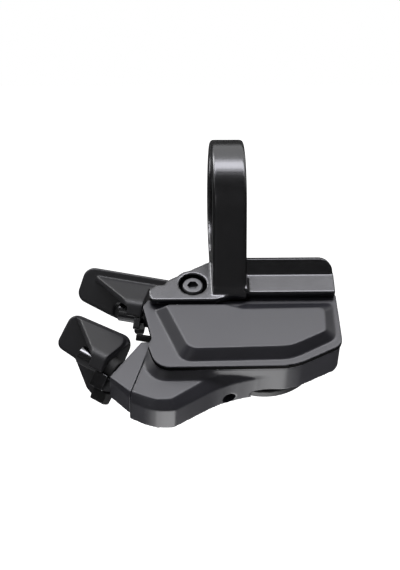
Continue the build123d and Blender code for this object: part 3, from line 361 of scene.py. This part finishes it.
@dataclass(frozen=True)
class Palette:
    """The finishes of the part."""

    bracket: Finish = Finish(
        "satin_black_anodised", (0.120, 0.120, 0.124), 0.24, metallic=1.0,
        grain=Grain.BLAST, grain_mm=0.09, depth_mm=0.0012, rounding_and_sheen=0.5,
    )
    cover: Finish = case_moulding("cover_moulding")
    housing: Finish = case_moulding("housing_moulding")
    pivot: Finish = case_moulding("end_cap_moulding")
    door: Finish = Finish(
        "battery_cap_moulding", (0.020, 0.020, 0.021), 0.45, specular=0.5, depth_mm=0.003
    )
    paddle: Finish = Finish(
        "paddle_moulding", (0.016, 0.016, 0.018), 0.42, specular=0.58,
        grain_mm=0.16, depth_mm=0.004,
    )
    shoe: Finish = blasted("shoe_anodised", (0.090, 0.090, 0.094), 0.22, rounding_and_sheen=0.5)
    bolt: Finish = blasted("bolt_oxide", (0.125, 0.125, 0.128), 0.34, rounding_and_sheen=0.4)
    screw: Finish = blasted("black_oxide_steel", (0.07, 0.07, 0.074), 0.38)
    rubber: Finish = Finish(
        "black_rubber", (0.008, 0.008, 0.008), 0.60, specular=0.4, grain=Grain.SKIN
    )
    # painted shade: a matte black that stands in for shade in gaps and recesses
    painted_shade: Finish = Finish(
        "painted_shade_black", (0.003, 0.003, 0.003), 0.80, specular=0.08, grain=Grain.SKIN
    )
    bush: Finish = Finish("black_resin", (0.012, 0.012, 0.013), 0.40, depth_mm=0.002)
    wire: Finish = blasted("spring_wire", (0.55, 0.55, 0.56), 0.25)
    plated: Finish = blasted("plated_contact", (0.62, 0.60, 0.55), 0.25)
    can: Finish = blasted("cell_can", (0.60, 0.60, 0.61), 0.28)
    board: Finish = Finish("board_lacquer", (0.010, 0.030, 0.018), 0.40, depth_mm=0.003)
    chip: Finish = Finish("chip_resin", (0.02, 0.02, 0.022), 0.5, depth_mm=0.003)
    cam: Finish = Finish("cam_resin", (0.55, 0.54, 0.50), 0.45, depth_mm=0.003)

    def shaft(self, lever: Axes, name: str) -> Finish:
        """Polished steel with turning marks round a lever's shaft.

        Args:
            lever: Axes of the lever.
            name: Name of the material.

        Returns:
            The finish.
        """
        return Finish(
            name, (0.16, 0.16, 0.165), 0.16, metallic=1.0, grain=Grain.TURNED, grain_mm=0.10,
            depth_mm=0.0006, rounding_and_sheen=0.1, turn=lever.z,
        )


PALETTE = Palette()


def place_piece(name: str, data: bpy.types.ID) -> BpyObject:
    """Put a mesh, a lamp or a camera into the scene.

    Args:
        name: Name of the object.
        data: Its data, for a mesh in the row frame and in metres.

    Returns:
        The new object, at the origin.
    """
    piece = bpy.data.objects.new(name, data)
    bpy.context.scene.collection.objects.link(piece)
    return piece


def baked(piece: BpyObject) -> Mesh:
    """Turn a piece with its modifiers into a plain mesh.

    Args:
        piece: Object with live modifiers.

    Returns:
        The evaluated mesh.
    """
    bpy.context.view_layer.update()
    graph = bpy.context.evaluated_depsgraph_get()
    return bpy.data.meshes.new_from_object(piece.evaluated_get(graph), depsgraph=graph)


@dataclass
class Softened:
    """A solid's shape with its edges rounded the way a mould or a cutter leaves them.

    Attributes:
        node: Name of the solid.
        body: Body that carries it.
        finish: Its finish.
        slot: A material slot name, not used.
        grid_mm: Size of the facets of the rounded skin.
        passes: Rounds of smoothing, which set the edge radius.
    """

    node: str
    body: Body
    finish: Finish
    slot: str
    grid_mm: float = 0.2
    passes: int = 8

    def build(self) -> BpyObject:
        """Round the edges and stand in for the solid.

        Returns:
            The finished piece.
        """
        rough = place_piece(f"{self.node}_rough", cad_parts[self.node].data.copy())
        weld = rough.modifiers.new("weld", "WELD")
        weld.merge_threshold = WELD_MM * MM
        skin = rough.modifiers.new("skin", "REMESH")
        skin.mode = "VOXEL"
        skin.voxel_size = self.grid_mm * MM
        # smoothing that rounds the edges
        rounding_and_sheen = rough.modifiers.new("rounding_and_sheen", "SMOOTH")
        rounding_and_sheen.factor = 0.5
        rounding_and_sheen.iterations = self.passes
        mesh = baked(rough)
        bpy.data.objects.remove(rough)
        return self._dress(mesh)

    def _dress(self, mesh: Mesh) -> BpyObject:
        """Args:
            mesh: Rounded mesh.

        Returns:
            The finished piece.
        """
        mesh.shade_smooth()
        mesh.materials.clear()
        mesh.materials.append(self.finish.material())
        piece = place_piece(f"{self.node}_shape", mesh)
        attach(piece, self.body.value)
        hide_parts(self.node)
        LOG.info("rounded %s: %d faces", self.node, len(mesh.polygons))
        return piece


@dataclass
class Coated:
    """A solid that keeps its own mesh and gets a finish.

    Attributes:
        node: Name of the solid.
        finish: Its finish.
    """

    node: str
    finish: Finish

    def build(self) -> None:
        """Put the finish on the solid."""
        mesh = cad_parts[self.node].data
        mesh.materials.clear()
        mesh.materials.append(self.finish.material())
        LOG.info("coated %s", self.node)


class Pattern:
    """A geometry tree with named sizes, which makes what repeats or follows a path."""

    def __init__(self, name: str, sizes: tuple[str, ...]) -> None:
        """Open the tree with its sockets.

        Args:
            name: Name of the tree.
            sizes: Names of its size inputs.
        """
        self.tree = bpy.data.node_groups.new(name, "GeometryNodeTree")
        self.sheet = NodeSheet(self.tree)
        sockets = self.tree.interface
        sockets.new_socket("Geometry", in_out="INPUT", socket_type="NodeSocketGeometry")
        self.keys = {
            size: sockets.new_socket(
                size, in_out="INPUT", socket_type="NodeSocketFloat"
            ).identifier
            for size in sizes
        }
        sockets.new_socket("Geometry", in_out="OUTPUT", socket_type="NodeSocketGeometry")
        self.given = self.sheet.add("NodeGroupInput").outputs

    def feed(self, node: Node, **sources: NodeSocket | str) -> Node:
        """Link named inputs of a node to other nodes or to the tree's sizes.

        Args:
            node: Node to feed.
            sources: Outputs, or names of sizes, by input name with underscores for blanks.

        Returns:
            The same node.
        """
        for key, source in sources.items():
            output = self.given[source] if isinstance(source, str) else source
            self.sheet.join(output, node.inputs[key.replace("_", " ")])
        return node

    def lifted(self, mesh: NodeSocket, size: str, share: float) -> NodeSocket:
        """Move a mesh up by a share of a size.

        Args:
            mesh: Mesh to move.
            size: Name of the size.
            share: Share of it.

        Returns:
            The moved mesh.
        """
        part = self.sheet.add("ShaderNodeMath", operation="MULTIPLY")
        part.inputs[1].default_value = share
        self.sheet.join(self.given[size], part.inputs[0])
        rise = self.feed(self.sheet.add("ShaderNodeCombineXYZ"), Z=part.outputs["Value"])
        moved = self.sheet.add("GeometryNodeTransform")
        self.feed(moved, Geometry=mesh, Translation=rise.outputs["Vector"])
        return moved.outputs["Geometry"]

    def close(self, shape: NodeSocket, finish: Finish) -> None:
        """End the tree with real geometry in its finish.

        Args:
            shape: Geometry to hand out.
            finish: Its finish.
        """
        real = self.feed(self.sheet.add("GeometryNodeRealizeInstances"), Geometry=shape)
        paint = self.sheet.add("GeometryNodeSetMaterial", {"Material": finish.material()})
        self.feed(paint, Geometry=real.outputs["Geometry"])
        self.feed(self.sheet.add("NodeGroupOutput"), Geometry=paint.outputs["Geometry"])

    def run(self, spots: list[Vector], axes: Axes, sizes: dict[str, float]) -> Mesh:
        """Run the tree on points.

        Args:
            spots: Points in local millimetres.
            axes: Local frame.
            sizes: Values of the size inputs, in millimetres.

        Returns:
            The mesh in the row frame, in metres.
        """
        points = bpy.data.meshes.new("spots")
        points.from_pydata(spots, [], [])
        piece = place_piece("spots", points)
        made = piece.modifiers.new("pattern", "NODES")
        made.node_group = self.tree
        for size, value in sizes.items():
            made[self.keys[size]] = value
        mesh = baked(piece)
        bpy.data.objects.remove(piece)
        mesh.transform(axes.matrix())
        return mesh


def screw_pattern(finish: Finish) -> Pattern:
    """Make the tree of a socket screw with a turned head and a rolled thread.

    Args:
        finish: Finish of the screws.

    Returns:
        The tree, which sets a screw on each point, head at the point and tip along Z.
    """
    pattern = Pattern("socket_screw", (
        "Head Radius", "Head Height", "Core Radius", "Socket Radius", "Socket Depth",
        "Thread Radius", "Thread Turns", "Thread Length",
    ))
    add, feed = pattern.sheet.add, pattern.feed
    drum = add("GeometryNodeMeshCylinder", {"Vertices": 40})
    feed(drum, Radius="Head Radius", Depth="Head Height")
    crown = add("GeometryNodeExtrudeMesh", {"Offset Scale": 0.0})
    feed(crown, Mesh=drum.outputs["Mesh"], Selection=drum.outputs["Bottom"])
    dish = add("GeometryNodeScaleElements", {"Scale": 0.86})
    feed(dish, Geometry=crown.outputs["Mesh"], Selection=crown.outputs["Top"])
    head = pattern.lifted(dish.outputs["Geometry"], "Head Height", share=0.5)
    key = add("GeometryNodeMeshCylinder", {"Vertices": HEX})
    feed(key, Radius="Socket Radius", Depth="Socket Depth")
    socket = pattern.lifted(key.outputs["Mesh"], "Socket Depth", share=0.45)
    sunk = add("GeometryNodeMeshBoolean", operation="DIFFERENCE")
    pattern.sheet.join(head, sunk.inputs["Mesh 1"])
    pattern.sheet.join(socket, sunk.inputs["Mesh 2"])
    core = add("GeometryNodeMeshCylinder", {"Vertices": 32})
    feed(core, Radius="Core Radius", Depth="Thread Length")
    turns = add("GeometryNodeCurveSpiral", {"Resolution": 24})
    feed(turns, Rotations="Thread Turns", Start_Radius="Core Radius", End_Radius="Core Radius")
    feed(turns, Height="Thread Length")
    ridge = add("GeometryNodeCurvePrimitiveCircle", {"Resolution": HEX})
    feed(ridge, Radius="Thread Radius")
    thread = add("GeometryNodeCurveToMesh", {"Fill Caps": True})
    feed(thread, Curve=turns.outputs["Curve"], Profile_Curve=ridge.outputs["Curve"])
    screw = add("GeometryNodeJoinGeometry")
    feed(screw, Geometry=sunk.outputs["Mesh"])
    shank = pattern.lifted(core.outputs["Mesh"], "Thread Length", share=0.5)
    feed(screw, Geometry=pattern.lifted(shank, "Head Height", share=1.0))
    feed(screw, Geometry=pattern.lifted(thread.outputs["Mesh"], "Head Height", share=1.0))
    row = add("GeometryNodeInstanceOnPoints")
    feed(row, Points="Geometry", Instance=screw.outputs["Geometry"])
    pattern.close(row.outputs["Instances"], finish)
    return pattern


def islands(node: str, axes: Axes) -> list[list[Vector]]:
    """Sort a solid's corners into its loose pieces.

    Args:
        node: Name of the solid.
        axes: Local frame.

    Returns:
        The corners of each loose piece, in local millimetres.
    """
    inward = axes.matrix().inverted()
    loose = bmesh.new()
    loose.from_mesh(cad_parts[node].data)
    bmesh.ops.remove_doubles(loose, verts=loose.verts, dist=WELD_MM * MM)
    left, found = set(loose.verts), []
    while left:
        front, piece = [left.pop()], []
        while front:
            corner = front.pop()
            piece.append(inward @ corner.co)
            near = {edge.other_vert(corner) for edge in corner.link_edges} & left
            left -= near
            front.extend(near)
        found.append(piece)
    loose.free()
    return found


@dataclass
class ScrewRow:
    """The screws of one solid, set where that solid has them.

    Attributes:
        node: Name of the solid.
        axes: Local frame, with its third axis from the heads to the tips.
        pattern: Tree that makes a screw.
        head_tall: Height of a head, in millimetres.
        core_r: Radius of the shank under the thread, in millimetres.
        pitch: Pitch of the thread, in millimetres.
        ridge_r: Radius of the thread's ridge, in millimetres.
        socket_r: Radius of the socket over its corners, in millimetres.
        socket_deep: Height of the socket's key, in millimetres.
    """

    node: str
    axes: Axes
    pattern: Pattern
    head_tall: float = 1.0
    core_r: float = 0.68
    pitch: float = 0.35
    ridge_r: float = 0.1
    socket_r: float = 0.65
    socket_deep: float = 0.6

    def build(self) -> BpyObject:
        """Measure the solid's screws and set detailed ones in their place.

        Returns:
            The finished piece.
        """
        spots, head_r, length = [], 0.0, 0.0
        for piece in islands(self.node, self.axes):
            low, high = ([edge(c[i] for c in piece) for i in range(3)] for edge in (min, max))
            spots.append(((low[0] + high[0]) / 2, (low[1] + high[1]) / 2, low[2]))
            head_r, length = (high[0] - low[0]) / 2, high[2] - low[2]
        shank = length - self.head_tall
        mesh = self.pattern.run(spots, self.axes, {
            "Head Radius": head_r, "Head Height": self.head_tall,
            "Socket Radius": self.socket_r, "Socket Depth": self.socket_deep,
            "Core Radius": self.core_r, "Thread Radius": self.ridge_r,
            "Thread Turns": shank / self.pitch, "Thread Length": shank,
        })
        piece = place_piece(f"{self.node}_shape", mesh)
        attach(piece, Body.BASE.value)
        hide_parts(self.node)
        LOG.info("set %d screws of %s", len(spots), self.node)
        return piece


def paint_faces(
    mesh: Mesh, axes: Axes, finish: Finish, test: Callable[[Vector], bool]
) -> None:
    """Give some faces of a mesh a second finish.

    Args:
        mesh: Mesh in the row frame.
        axes: Local frame of the test.
        finish: The second finish.
        test: Tells from a face's middle, in local millimetres, whether it is meant.
    """
    mesh.materials.append(finish.material())
    inward = axes.matrix().inverted()
    for face in mesh.polygons:
        if test(inward @ face.center):
            face.material_index = 1


@dataclass
class Clamp:
    """Band clamp with its arm, ledge and bolt.

    Attributes:
        bolt_at: Axis of the bolt along u and v, in body millimetres.
        recess_r: Reach of the bolt's recess.
        recess_shade_n: Lowest and highest level at which the recess wall gets painted shade.
    """

    bolt_at: tuple[float, float] = (-7.9, -19.4)
    recess_r: float = 3.2
    recess_shade_n: tuple[float, float] = (-8.0, -6.25)

    def build(self) -> None:
        """Round the bracket and its bolt."""
        bracket = Softened(
            "clamp_bracket", Body.BASE, PALETTE.bracket, "bracket_alloy", grid_mm=0.22, passes=5
        ).build()
        # painted shade: the wall of the recess round the bolt's head is painted black
        paint_faces(bracket.data, SLOPE.body(), PALETTE.painted_shade, self._in_recess_shade)
        Softened(
            "clamp_bolt", Body.BASE, PALETTE.bolt, "bolt_steel", grid_mm=0.085, passes=3
        ).build()

    def _in_recess_shade(self, place: Vector) -> bool:
        """Tell whether a place lies in the recess round the bolt's head, where shade is painted.
        """
        away = hypot(place.x - self.bolt_at[0], place.y - self.bolt_at[1])
        return away < self.recess_r and self.recess_shade_n[0] < place.z < self.recess_shade_n[1]


@dataclass(frozen=True)
class Turn:
    """A corner of an upright wall that is led round in a wider arc.

    Attributes:
        corner: Where the straight walls would meet along u and v, in body millimetres.
        slant_deg: Heading of the wall at the corner, from the u axis.
        half_deg: Half the turn that the wall makes, below zero for a hollow corner.
        from_r: Radius that the solid has there, in millimetres.
        to_r: Radius that it gets, in millimetres.
        top_n: Level below which the change sets in over a millimetre.
        fade: Depth behind the wall at which the change has died out, in millimetres.
    """

    corner: tuple[float, float]
    slant_deg: float
    half_deg: float
    from_r: float
    to_r: float
    top_n: float = 0.0
    fade: float = 4.0

    def apply(self, mesh: Mesh) -> None:
        """Move the wall of a mesh to the wider arc.

        Args:
            mesh: Mesh in the row frame.
        """
        outward = SLOPE.body().matrix()
        inward = outward.inverted()
        slant = radians(self.slant_deg)
        along = Vector((cos(slant), sin(slant), 0))
        deep = Vector((-sin(slant), cos(slant), 0))
        corner = Vector((*self.corner, 0))
        for vert in mesh.vertices:
            place = inward @ vert.co
            side, depth = (place - corner).dot(along), (place - corner).dot(deep)
            wall = self._wall(self.from_r, side)
            share = max(0.0, 1 - max(0.0, depth - wall) / self.fade)
            share *= min(1.0, max(0.0, self.top_n - place.z))
            vert.co = outward @ (place + deep * (self._wall(self.to_r, side) - wall) * share)

    def _wall(self, radius: float, side: float) -> float:
        """Find how deep the wall lies behind the corner.

        Args:
            radius: Radius of the turn.
            side: Distance from the corner along the wall.

        Returns:
            The depth, in millimetres.
        """
        half = radians(self.half_deg)
        if abs(side) > radius * sin(abs(half)):
            return abs(side) * tan(half)
        return copysign(radius / cos(half) - sqrt(radius ** 2 - side ** 2), half)


@dataclass(frozen=True)
class Bore:
    """A hole along the slope that is drilled clean again after the rounding.

    Attributes:
        at: Middle of the drilled length, in body millimetres.
        radius: Its radius, in millimetres.
        depth: Its drilled length, in millimetres.
        sides: Facets round its wall.
    """

    at: Place
    radius: float
    depth: float
    sides: int = 48

    def apply(self, piece: BpyObject) -> None:
        """Drill the hole into a piece.

        Args:
            piece: Piece with a plain mesh.
        """
        heading = SLOPE.heading
        axes = Axes(heading(*self.at), heading(1, 0, 0), heading(0, 0, 1), heading(0, -1, 0))
        drill = place_piece("drill", bpy.data.meshes.new("drill"))
        rod = bmesh.new()
        bmesh.ops.create_cone(
            rod, cap_ends=True, segments=self.sides,
            radius1=self.radius, radius2=self.radius, depth=self.depth,
        )
        rod.to_mesh(drill.data)
        rod.free()
        drill.data.transform(axes.matrix())
        cut = piece.modifiers.new("drill", "BOOLEAN")
        cut.object, cut.operation, cut.solver = drill, "DIFFERENCE", "EXACT"
        drilled = baked(piece)
        piece.modifiers.clear()
        piece.data = drilled
        bpy.data.objects.remove(drill)


@dataclass
class Case:
    """Cover, tray with its pod, and the pod's end cap.

    Attributes:
        pod_turn: Lowest corner of the pod's wall.
        tray_turn: Lower right corner of the tray's wall.
        flank_turns: Corners by which the pod's flank runs into the tray's wall.
        cover_turn: Lower right corner of the cover's rim.
        side_hole: Hole in the pod's lower flank.
        painted_shade: Lowest and highest level of a band of painted shade round the side of the
            cover's rim, where the gap under the rim falls into shade.
    """

    pod_turn: Turn = Turn(
        corner=(-16.4, -49.3), slant_deg=-11.25, half_deg=16.95, from_r=2.6, to_r=10.0
    )
    tray_turn: Turn = Turn(
        corner=(12.43, -38.75), slant_deg=15.05, half_deg=14.05, from_r=5.0, to_r=11.0
    )
    flank_turns: tuple[Turn, ...] = (
        Turn((-2.4, -42.7), 22.92, -8.88, from_r=4.0, to_r=23.0, top_n=-11.5),
        Turn((1.6, -41.7), 15.37, 1.33, from_r=3.0, to_r=150.0, top_n=-11.5),
        Turn((5.23, -40.61), 8.35, -8.35, from_r=0.8, to_r=23.0, top_n=-11.5),
    )
    cover_turn: Turn = Turn(
        corner=(12.5, -39.0), slant_deg=15.05, half_deg=14.05, from_r=5.2, to_r=11.0
    )
    side_hole: Bore = Bore(at=(-0.7, -42.18, -16.9), radius=1.36, depth=3.65)
    painted_shade: tuple[float, float] = (-8.95, -8.15)

    def build(self) -> None:
        """Round the mouldings of the case."""
        cover = Softened(
            "front_cover", Body.BASE, PALETTE.cover, "cover_plastic", grid_mm=0.18, passes=7
        ).build()
        self.cover_turn.apply(cover.data)
        # painted shade: the side of the cover's rim is painted black between these levels, for
        # the shadow in the gap under the rim
        low, high = self.painted_shade
        paint_faces(cover.data, SLOPE.body(), PALETTE.painted_shade, lambda place: low < place.z < high)
        tray = Softened(
            "main_housing", Body.BASE, PALETTE.housing, "housing_plastic", grid_mm=0.25, passes=5
        ).build()
        for turn in (self.pod_turn, self.tray_turn, *self.flank_turns):
            turn.apply(tray.data)
        self.side_hole.apply(tray)
        Softened(
            "pivot_cap", Body.BASE, PALETTE.pivot, "pivot_cap_plastic", grid_mm=0.17, passes=5
        ).build()


@dataclass
class Lever:
    """A thumb paddle with its shaft, shoe and buffer.

    Attributes:
        side: Prefix of its solids.
        body: Body that carries it.
        stop: Body that carries its rubber block.
        axes: Its local frame.
        collar_shade_r: Reach of the painted shade round the shaft, in millimetres.
        collar_shade_from: Inner end of that painted shade along the shaft.
        collar_shade_to: Outer end of it.
    """

    side: str
    body: Body
    stop: Body
    axes: Axes
    collar_shade_r: float = 3.25
    collar_shade_from: float = -0.5
    collar_shade_to: float = 3.6

    def build(self) -> None:
        """Round the paddle and its shoe, and finish the steel."""
        paddle = Softened(
            f"{self.side}_paddle", self.body, PALETTE.paddle, "paddle_plastic",
            grid_mm=0.16, passes=14,
        ).build()
        # painted shade: the paddle's collar round the shaft is painted black, for the shade
        # inside the hood's fold
        paint_faces(paddle.data, self.axes, PALETTE.rubber, self._in_collar_shade)
        Softened(
            f"{self.side}_shoe", self.body, PALETTE.shoe, "shoe_alloy", grid_mm=0.12, passes=2
        ).build()
        Softened(
            f"{self.side}_buffer", self.stop, PALETTE.rubber, "buffer_rubber",
            grid_mm=0.10, passes=6,
        ).build()
        Coated(f"{self.side}_shaft", PALETTE.shaft(self.axes, f"{self.side}_shaft_steel")).build()
        Coated(f"{self.side}_pinch_screws", PALETTE.screw).build()
        Coated(f"{self.side}_spring", PALETTE.wire).build()
        Coated(f"{self.side}_cam", PALETTE.cam).build()
        Coated(f"{self.side}_bush", PALETTE.bush).build()
        Coated(f"{self.side}_switch", PALETTE.chip).build()

    def _in_collar_shade(self, place: Vector) -> bool:
        """Tell whether a place lies in the painted shade round the shaft, inside the hood's fold.
        """
        return hypot(place.x, place.y) < self.collar_shade_r and self.collar_shade_from < place.z < self.collar_shade_to


@dataclass
class Inside:
    """Battery, board and screws."""

    def build(self) -> None:
        """Finish the pieces that show little or not at all."""
        Softened(
            "battery_cap", Body.DOOR, PALETTE.door, "battery_cap_plastic", grid_mm=0.22, passes=3
        ).build()
        screws = screw_pattern(PALETTE.screw)
        for node in ("cover_screws", "bracket_screws"):
            ScrewRow(node, SLOPE.body(), screws).build()
        for node, finish in (
            ("battery_seal", PALETTE.rubber), ("cover_seal", PALETTE.rubber),
            ("coin_cell", PALETTE.can), ("battery_contact", PALETTE.plated),
            ("circuit_board", PALETTE.board), ("radio_chips", PALETTE.chip),
            ("cap_screw", PALETTE.screw), ("side_screw", PALETTE.screw),
        ):
            Coated(node, finish).build()


@dataclass(frozen=True)
class Lamp:
    """A soft rectangular lamp.

    Attributes:
        name: Its name.
        at: Its place, in metres.
        to: Point it faces.
        size: Its width and depth, in metres.
        radiance: Brightness of its face.
        colour: Its colour.
    """

    name: str
    at: Place
    to: Place
    size: tuple[float, float]
    radiance: float
    colour: Colour = (1, 1, 1)

    def hang(self) -> None:
        """Put the lamp into the studio, out of the camera's sight."""
        data = bpy.data.lights.new(self.name, "AREA")
        data.color = self.colour
        data.shape = "RECTANGLE"
        data.size, data.size_y = self.size
        data.energy = self.radiance * pi * self.size[0] * self.size[1]
        lamp = place_piece(self.name, data)
        lamp.location = self.at
        facing = Vector(self.to) - Vector(self.at)
        lamp.rotation_euler = facing.to_track_quat("-Z", "Y").to_euler()
        lamp.visible_camera = False


@dataclass(frozen=True)
class View:
    """The photograph's viewing angle.

    Attributes:
        turn_deg: Turn round the part, from straight ahead.
        rise_deg: Height of the camera above the horizon.
        away_mm: Distance from the middle of the clamp's bore.
        left_mm: Shift to the left of it.
        down_mm: Shift below it.
        lens_mm: Focal length.
        sensor_mm: Width of the sensor.
        clip: Nearest and farthest distance shown, in metres.
    """

    turn_deg: float = -2.5
    rise_deg: float = 10.0
    away_mm: float = 350.0
    left_mm: float = 5.857
    down_mm: float = 18.71
    lens_mm: float = 99.25
    sensor_mm: float = 36.0
    clip: tuple[float, float] = (0.01, 20.0)

    def take(self) -> None:
        """Set the camera at this angle."""
        data = bpy.data.cameras.new("camera")
        data.lens, data.sensor_width = self.lens_mm, self.sensor_mm
        data.clip_start, data.clip_end = self.clip
        camera = place_piece("camera", data)
        turn, rise = radians(self.turn_deg), radians(self.rise_deg)
        back = Vector((sin(turn) * cos(rise), -cos(turn) * cos(rise), sin(rise)))
        right = Vector((cos(turn), sin(turn), 0))
        up = back.cross(right)
        place = back * self.away_mm - right * self.left_mm - up * self.down_mm
        camera.location = place * MM
        camera.rotation_euler = Matrix((right, up, back)).transposed().to_euler()
        bpy.context.scene.camera = camera


@dataclass
class Studio:
    """White studio with banks of light above, cards below and in front, and dark flags.

    Attributes:
        floor_z: Height of the floor, in metres.
        reach: Half width of the floor, in metres.
        ambient: World light on the object.
        flag_tone: How dark the flags are.
        lamps: The banks and cards.
        view: The camera's place.
    """

    floor_z: float = -0.17
    reach: float = 4.0
    ambient: float = 0.25
    flag_tone: float = 0.17
    lamps: tuple[Lamp, ...] = (
        Lamp("top_bank", (0.0, -0.10, 0.42), (0, 0, 0), (0.60, 0.14), 5.3, (0.945, 0.94, 1.0)),
        Lamp("left_bank", (-0.36, 0.12, 0.42), (0, 0, 0), (0.16, 0.26), 6.0),
        Lamp("front_card", (-0.20, -0.45, 0.08), (0, 0, 0), (0.25, 0.12), 0.6),
        Lamp("low_card", (0.0, -0.03, -0.165), (0.0, -0.03, 0.0), (0.08, 0.20), 1.4),
        Lamp("low_fade", (0.0, -0.03, -0.166), (0.0, -0.03, 0.0), (0.13, 0.20), 0.55),
    )
    view: View = View()

    def build(self) -> None:
        """Set up the view, the world, the floor, the flags, the lamps and the camera."""
        bpy.context.scene.view_settings.view_transform = "Standard"
        self._world()
        self._floor()
        self._flags()
        for lamp in self.lamps:
            lamp.hang()
        self.view.take()

    def _world(self) -> None:
        """White to the camera and in reflections, soft light on the object."""
        world = bpy.data.worlds.new("studio")
        bpy.context.scene.world = world
        world.use_nodes = True
        world.node_tree.nodes.clear()
        sheet = NodeSheet(world.node_tree)
        strength = sheet.add("ShaderNodeMapRange", {"To Min": self.ambient, "To Max": 1.0})
        sheet.join(self._seen(sheet), strength.inputs["Value"])
        back = sheet.add("ShaderNodeBackground", {"Color": (1, 1, 1, 1)})
        sheet.join(strength.outputs["Result"], back.inputs["Strength"])
        out = sheet.add("ShaderNodeOutputWorld")
        sheet.join(back.outputs["Background"], out.inputs["Surface"])

    def _seen(self, sheet: NodeSheet) -> NodeSocket:
        """Tell rays that look at the background from rays that light the object.

        Args:
            sheet: Tree to fill.

        Returns:
            One for camera, glossy and transmission rays.
        """
        path = sheet.add("ShaderNodeLightPath")
        seen = path.outputs["Is Camera Ray"]
        for ray in ("Is Glossy Ray", "Is Transmission Ray"):
            either = sheet.add("ShaderNodeMath", operation="MAXIMUM")
            sheet.join(seen, either.inputs[0])
            sheet.join(path.outputs[ray], either.inputs[1])
            seen = either.outputs["Value"]
        return seen

    def _panels(self, name: str, paint: Material, *panels: tuple[Place, ...]) -> BpyObject:
        """Stand flat panels in the studio.

        Args:
            name: Name of the piece.
            paint: Its material.
            panels: Corners of each panel, in metres.

        Returns:
            The placed piece.
        """
        mesh = bpy.data.meshes.new(name)
        corners = [corner for panel in panels for corner in panel]
        mesh.from_pydata(corners, [], [range(4 * i, 4 * i + 4) for i in range(len(panels))])
        mesh.materials.append(paint)
        piece = place_piece(name, mesh)
        return piece

    def _floor(self) -> None:
        """Pale floor that keeps the shadow and runs out to white."""
        far, low = self.reach, self.floor_z
        self._panels("floor", self._floor_paint(), (
            (-far, -far, low), (far, -far, low), (far, far, low), (-far, far, low),
        ))

    def _floor_paint(self) -> Material:
        """White paint that glows more with distance, where it is looked at.

        Returns:
            The floor's material.
        """
        paint = bpy.data.materials.new("floor_paint")
        paint.use_nodes = True
        paint.node_tree.nodes.clear()
        sheet = NodeSheet(paint.node_tree)
        away = sheet.add("ShaderNodeVectorMath", operation="LENGTH")
        sheet.join(sheet.add("ShaderNodeTexCoord").outputs["Object"], away.inputs[0])
        white = sheet.add("ShaderNodeMapRange", {
            "From Min": 0.1, "From Max": 0.5, "To Min": 0.55, "To Max": 1.0,
        })
        sheet.join(away.outputs["Value"], white.inputs["Value"])
        seen = sheet.add("ShaderNodeMath", operation="MULTIPLY")
        sheet.join(white.outputs["Result"], seen.inputs[0])
        sheet.join(self._seen(sheet), seen.inputs[1])
        matt = sheet.add("ShaderNodeBsdfDiffuse", {"Color": (0.80, 0.80, 0.80, 1)})
        glow = sheet.add("ShaderNodeEmission", {"Color": (1, 1, 1, 1)})
        sheet.join(seen.outputs["Value"], glow.inputs["Strength"])
        both = sheet.add("ShaderNodeAddShader")
        sheet.join(matt.outputs["BSDF"], both.inputs[0])
        sheet.join(glow.outputs["Emission"], both.inputs[1])
        out = sheet.add("ShaderNodeOutputMaterial")
        sheet.join(both.outputs["Shader"], out.inputs["Surface"])
        return paint

    def _flags(self) -> None:
        """Dark flags round the object and on the floor, which only reflections see."""
        paint = bpy.data.materials.new("flag_cloth")
        paint.use_nodes = True
        cloth = paint.node_tree.nodes["Principled BSDF"]
        cloth.inputs["Base Color"].default_value = (*[self.flag_tone] * 3, 1)
        cloth.inputs["Roughness"].default_value = 0.9
        # edges of the panels in metres, with the lowest a millimetre above the floor
        low, wide, near = self.floor_z + MM, 0.70, 0.05
        front, back, cut, top, roof, rear = -0.46, 0.70, -0.10, 0.30, 0.44, 0.68
        eave = 2 * cut
        flags = self._panels(
            "flags", paint,
            ((-wide, front, low), (wide, front, low), (wide, cut, low), (-wide, cut, low)),
            ((-wide, cut, low), (-near, cut, low), (-near, back, low), (-wide, back, low)),
            ((near, cut, low), (wide, cut, low), (wide, back, low), (near, back, low)),
            ((-near, -cut, low), (near, -cut, low), (near, back, low), (-near, back, low)),
            ((-wide, front, low), (wide, front, low), (wide, front, top), (-wide, front, top)),
            ((-wide, front, top), (wide, front, top), (wide, eave, roof), (-wide, eave, roof)),
            ((-wide, front, low), (-wide, back, low), (-wide, back, top), (-wide, front, top)),
            ((wide, front, low), (wide, back, low), (wide, back, top), (wide, front, top)),
            ((-wide, back, low), (wide, back, low), (wide, back, rear), (-wide, back, rear)),
        )
        flags.visible_camera = False
        flags.visible_shadow = False
        flags.visible_diffuse = False


def main() -> None:
    """Build every sub-assembly and the studio."""
    logging.basicConfig(level=logging.INFO, format="%(name)s: %(message)s")
    Clamp().build()
    Case().build()
    Lever("upper", Body.UPPER, Body.BASE, UPPER_AXES).build()
    Lever("lower", Body.LOWER, Body.LOWER, LOWER_AXES).build()
    Inside().build()
    Studio().build()


if __name__ == "__main__":
    main()
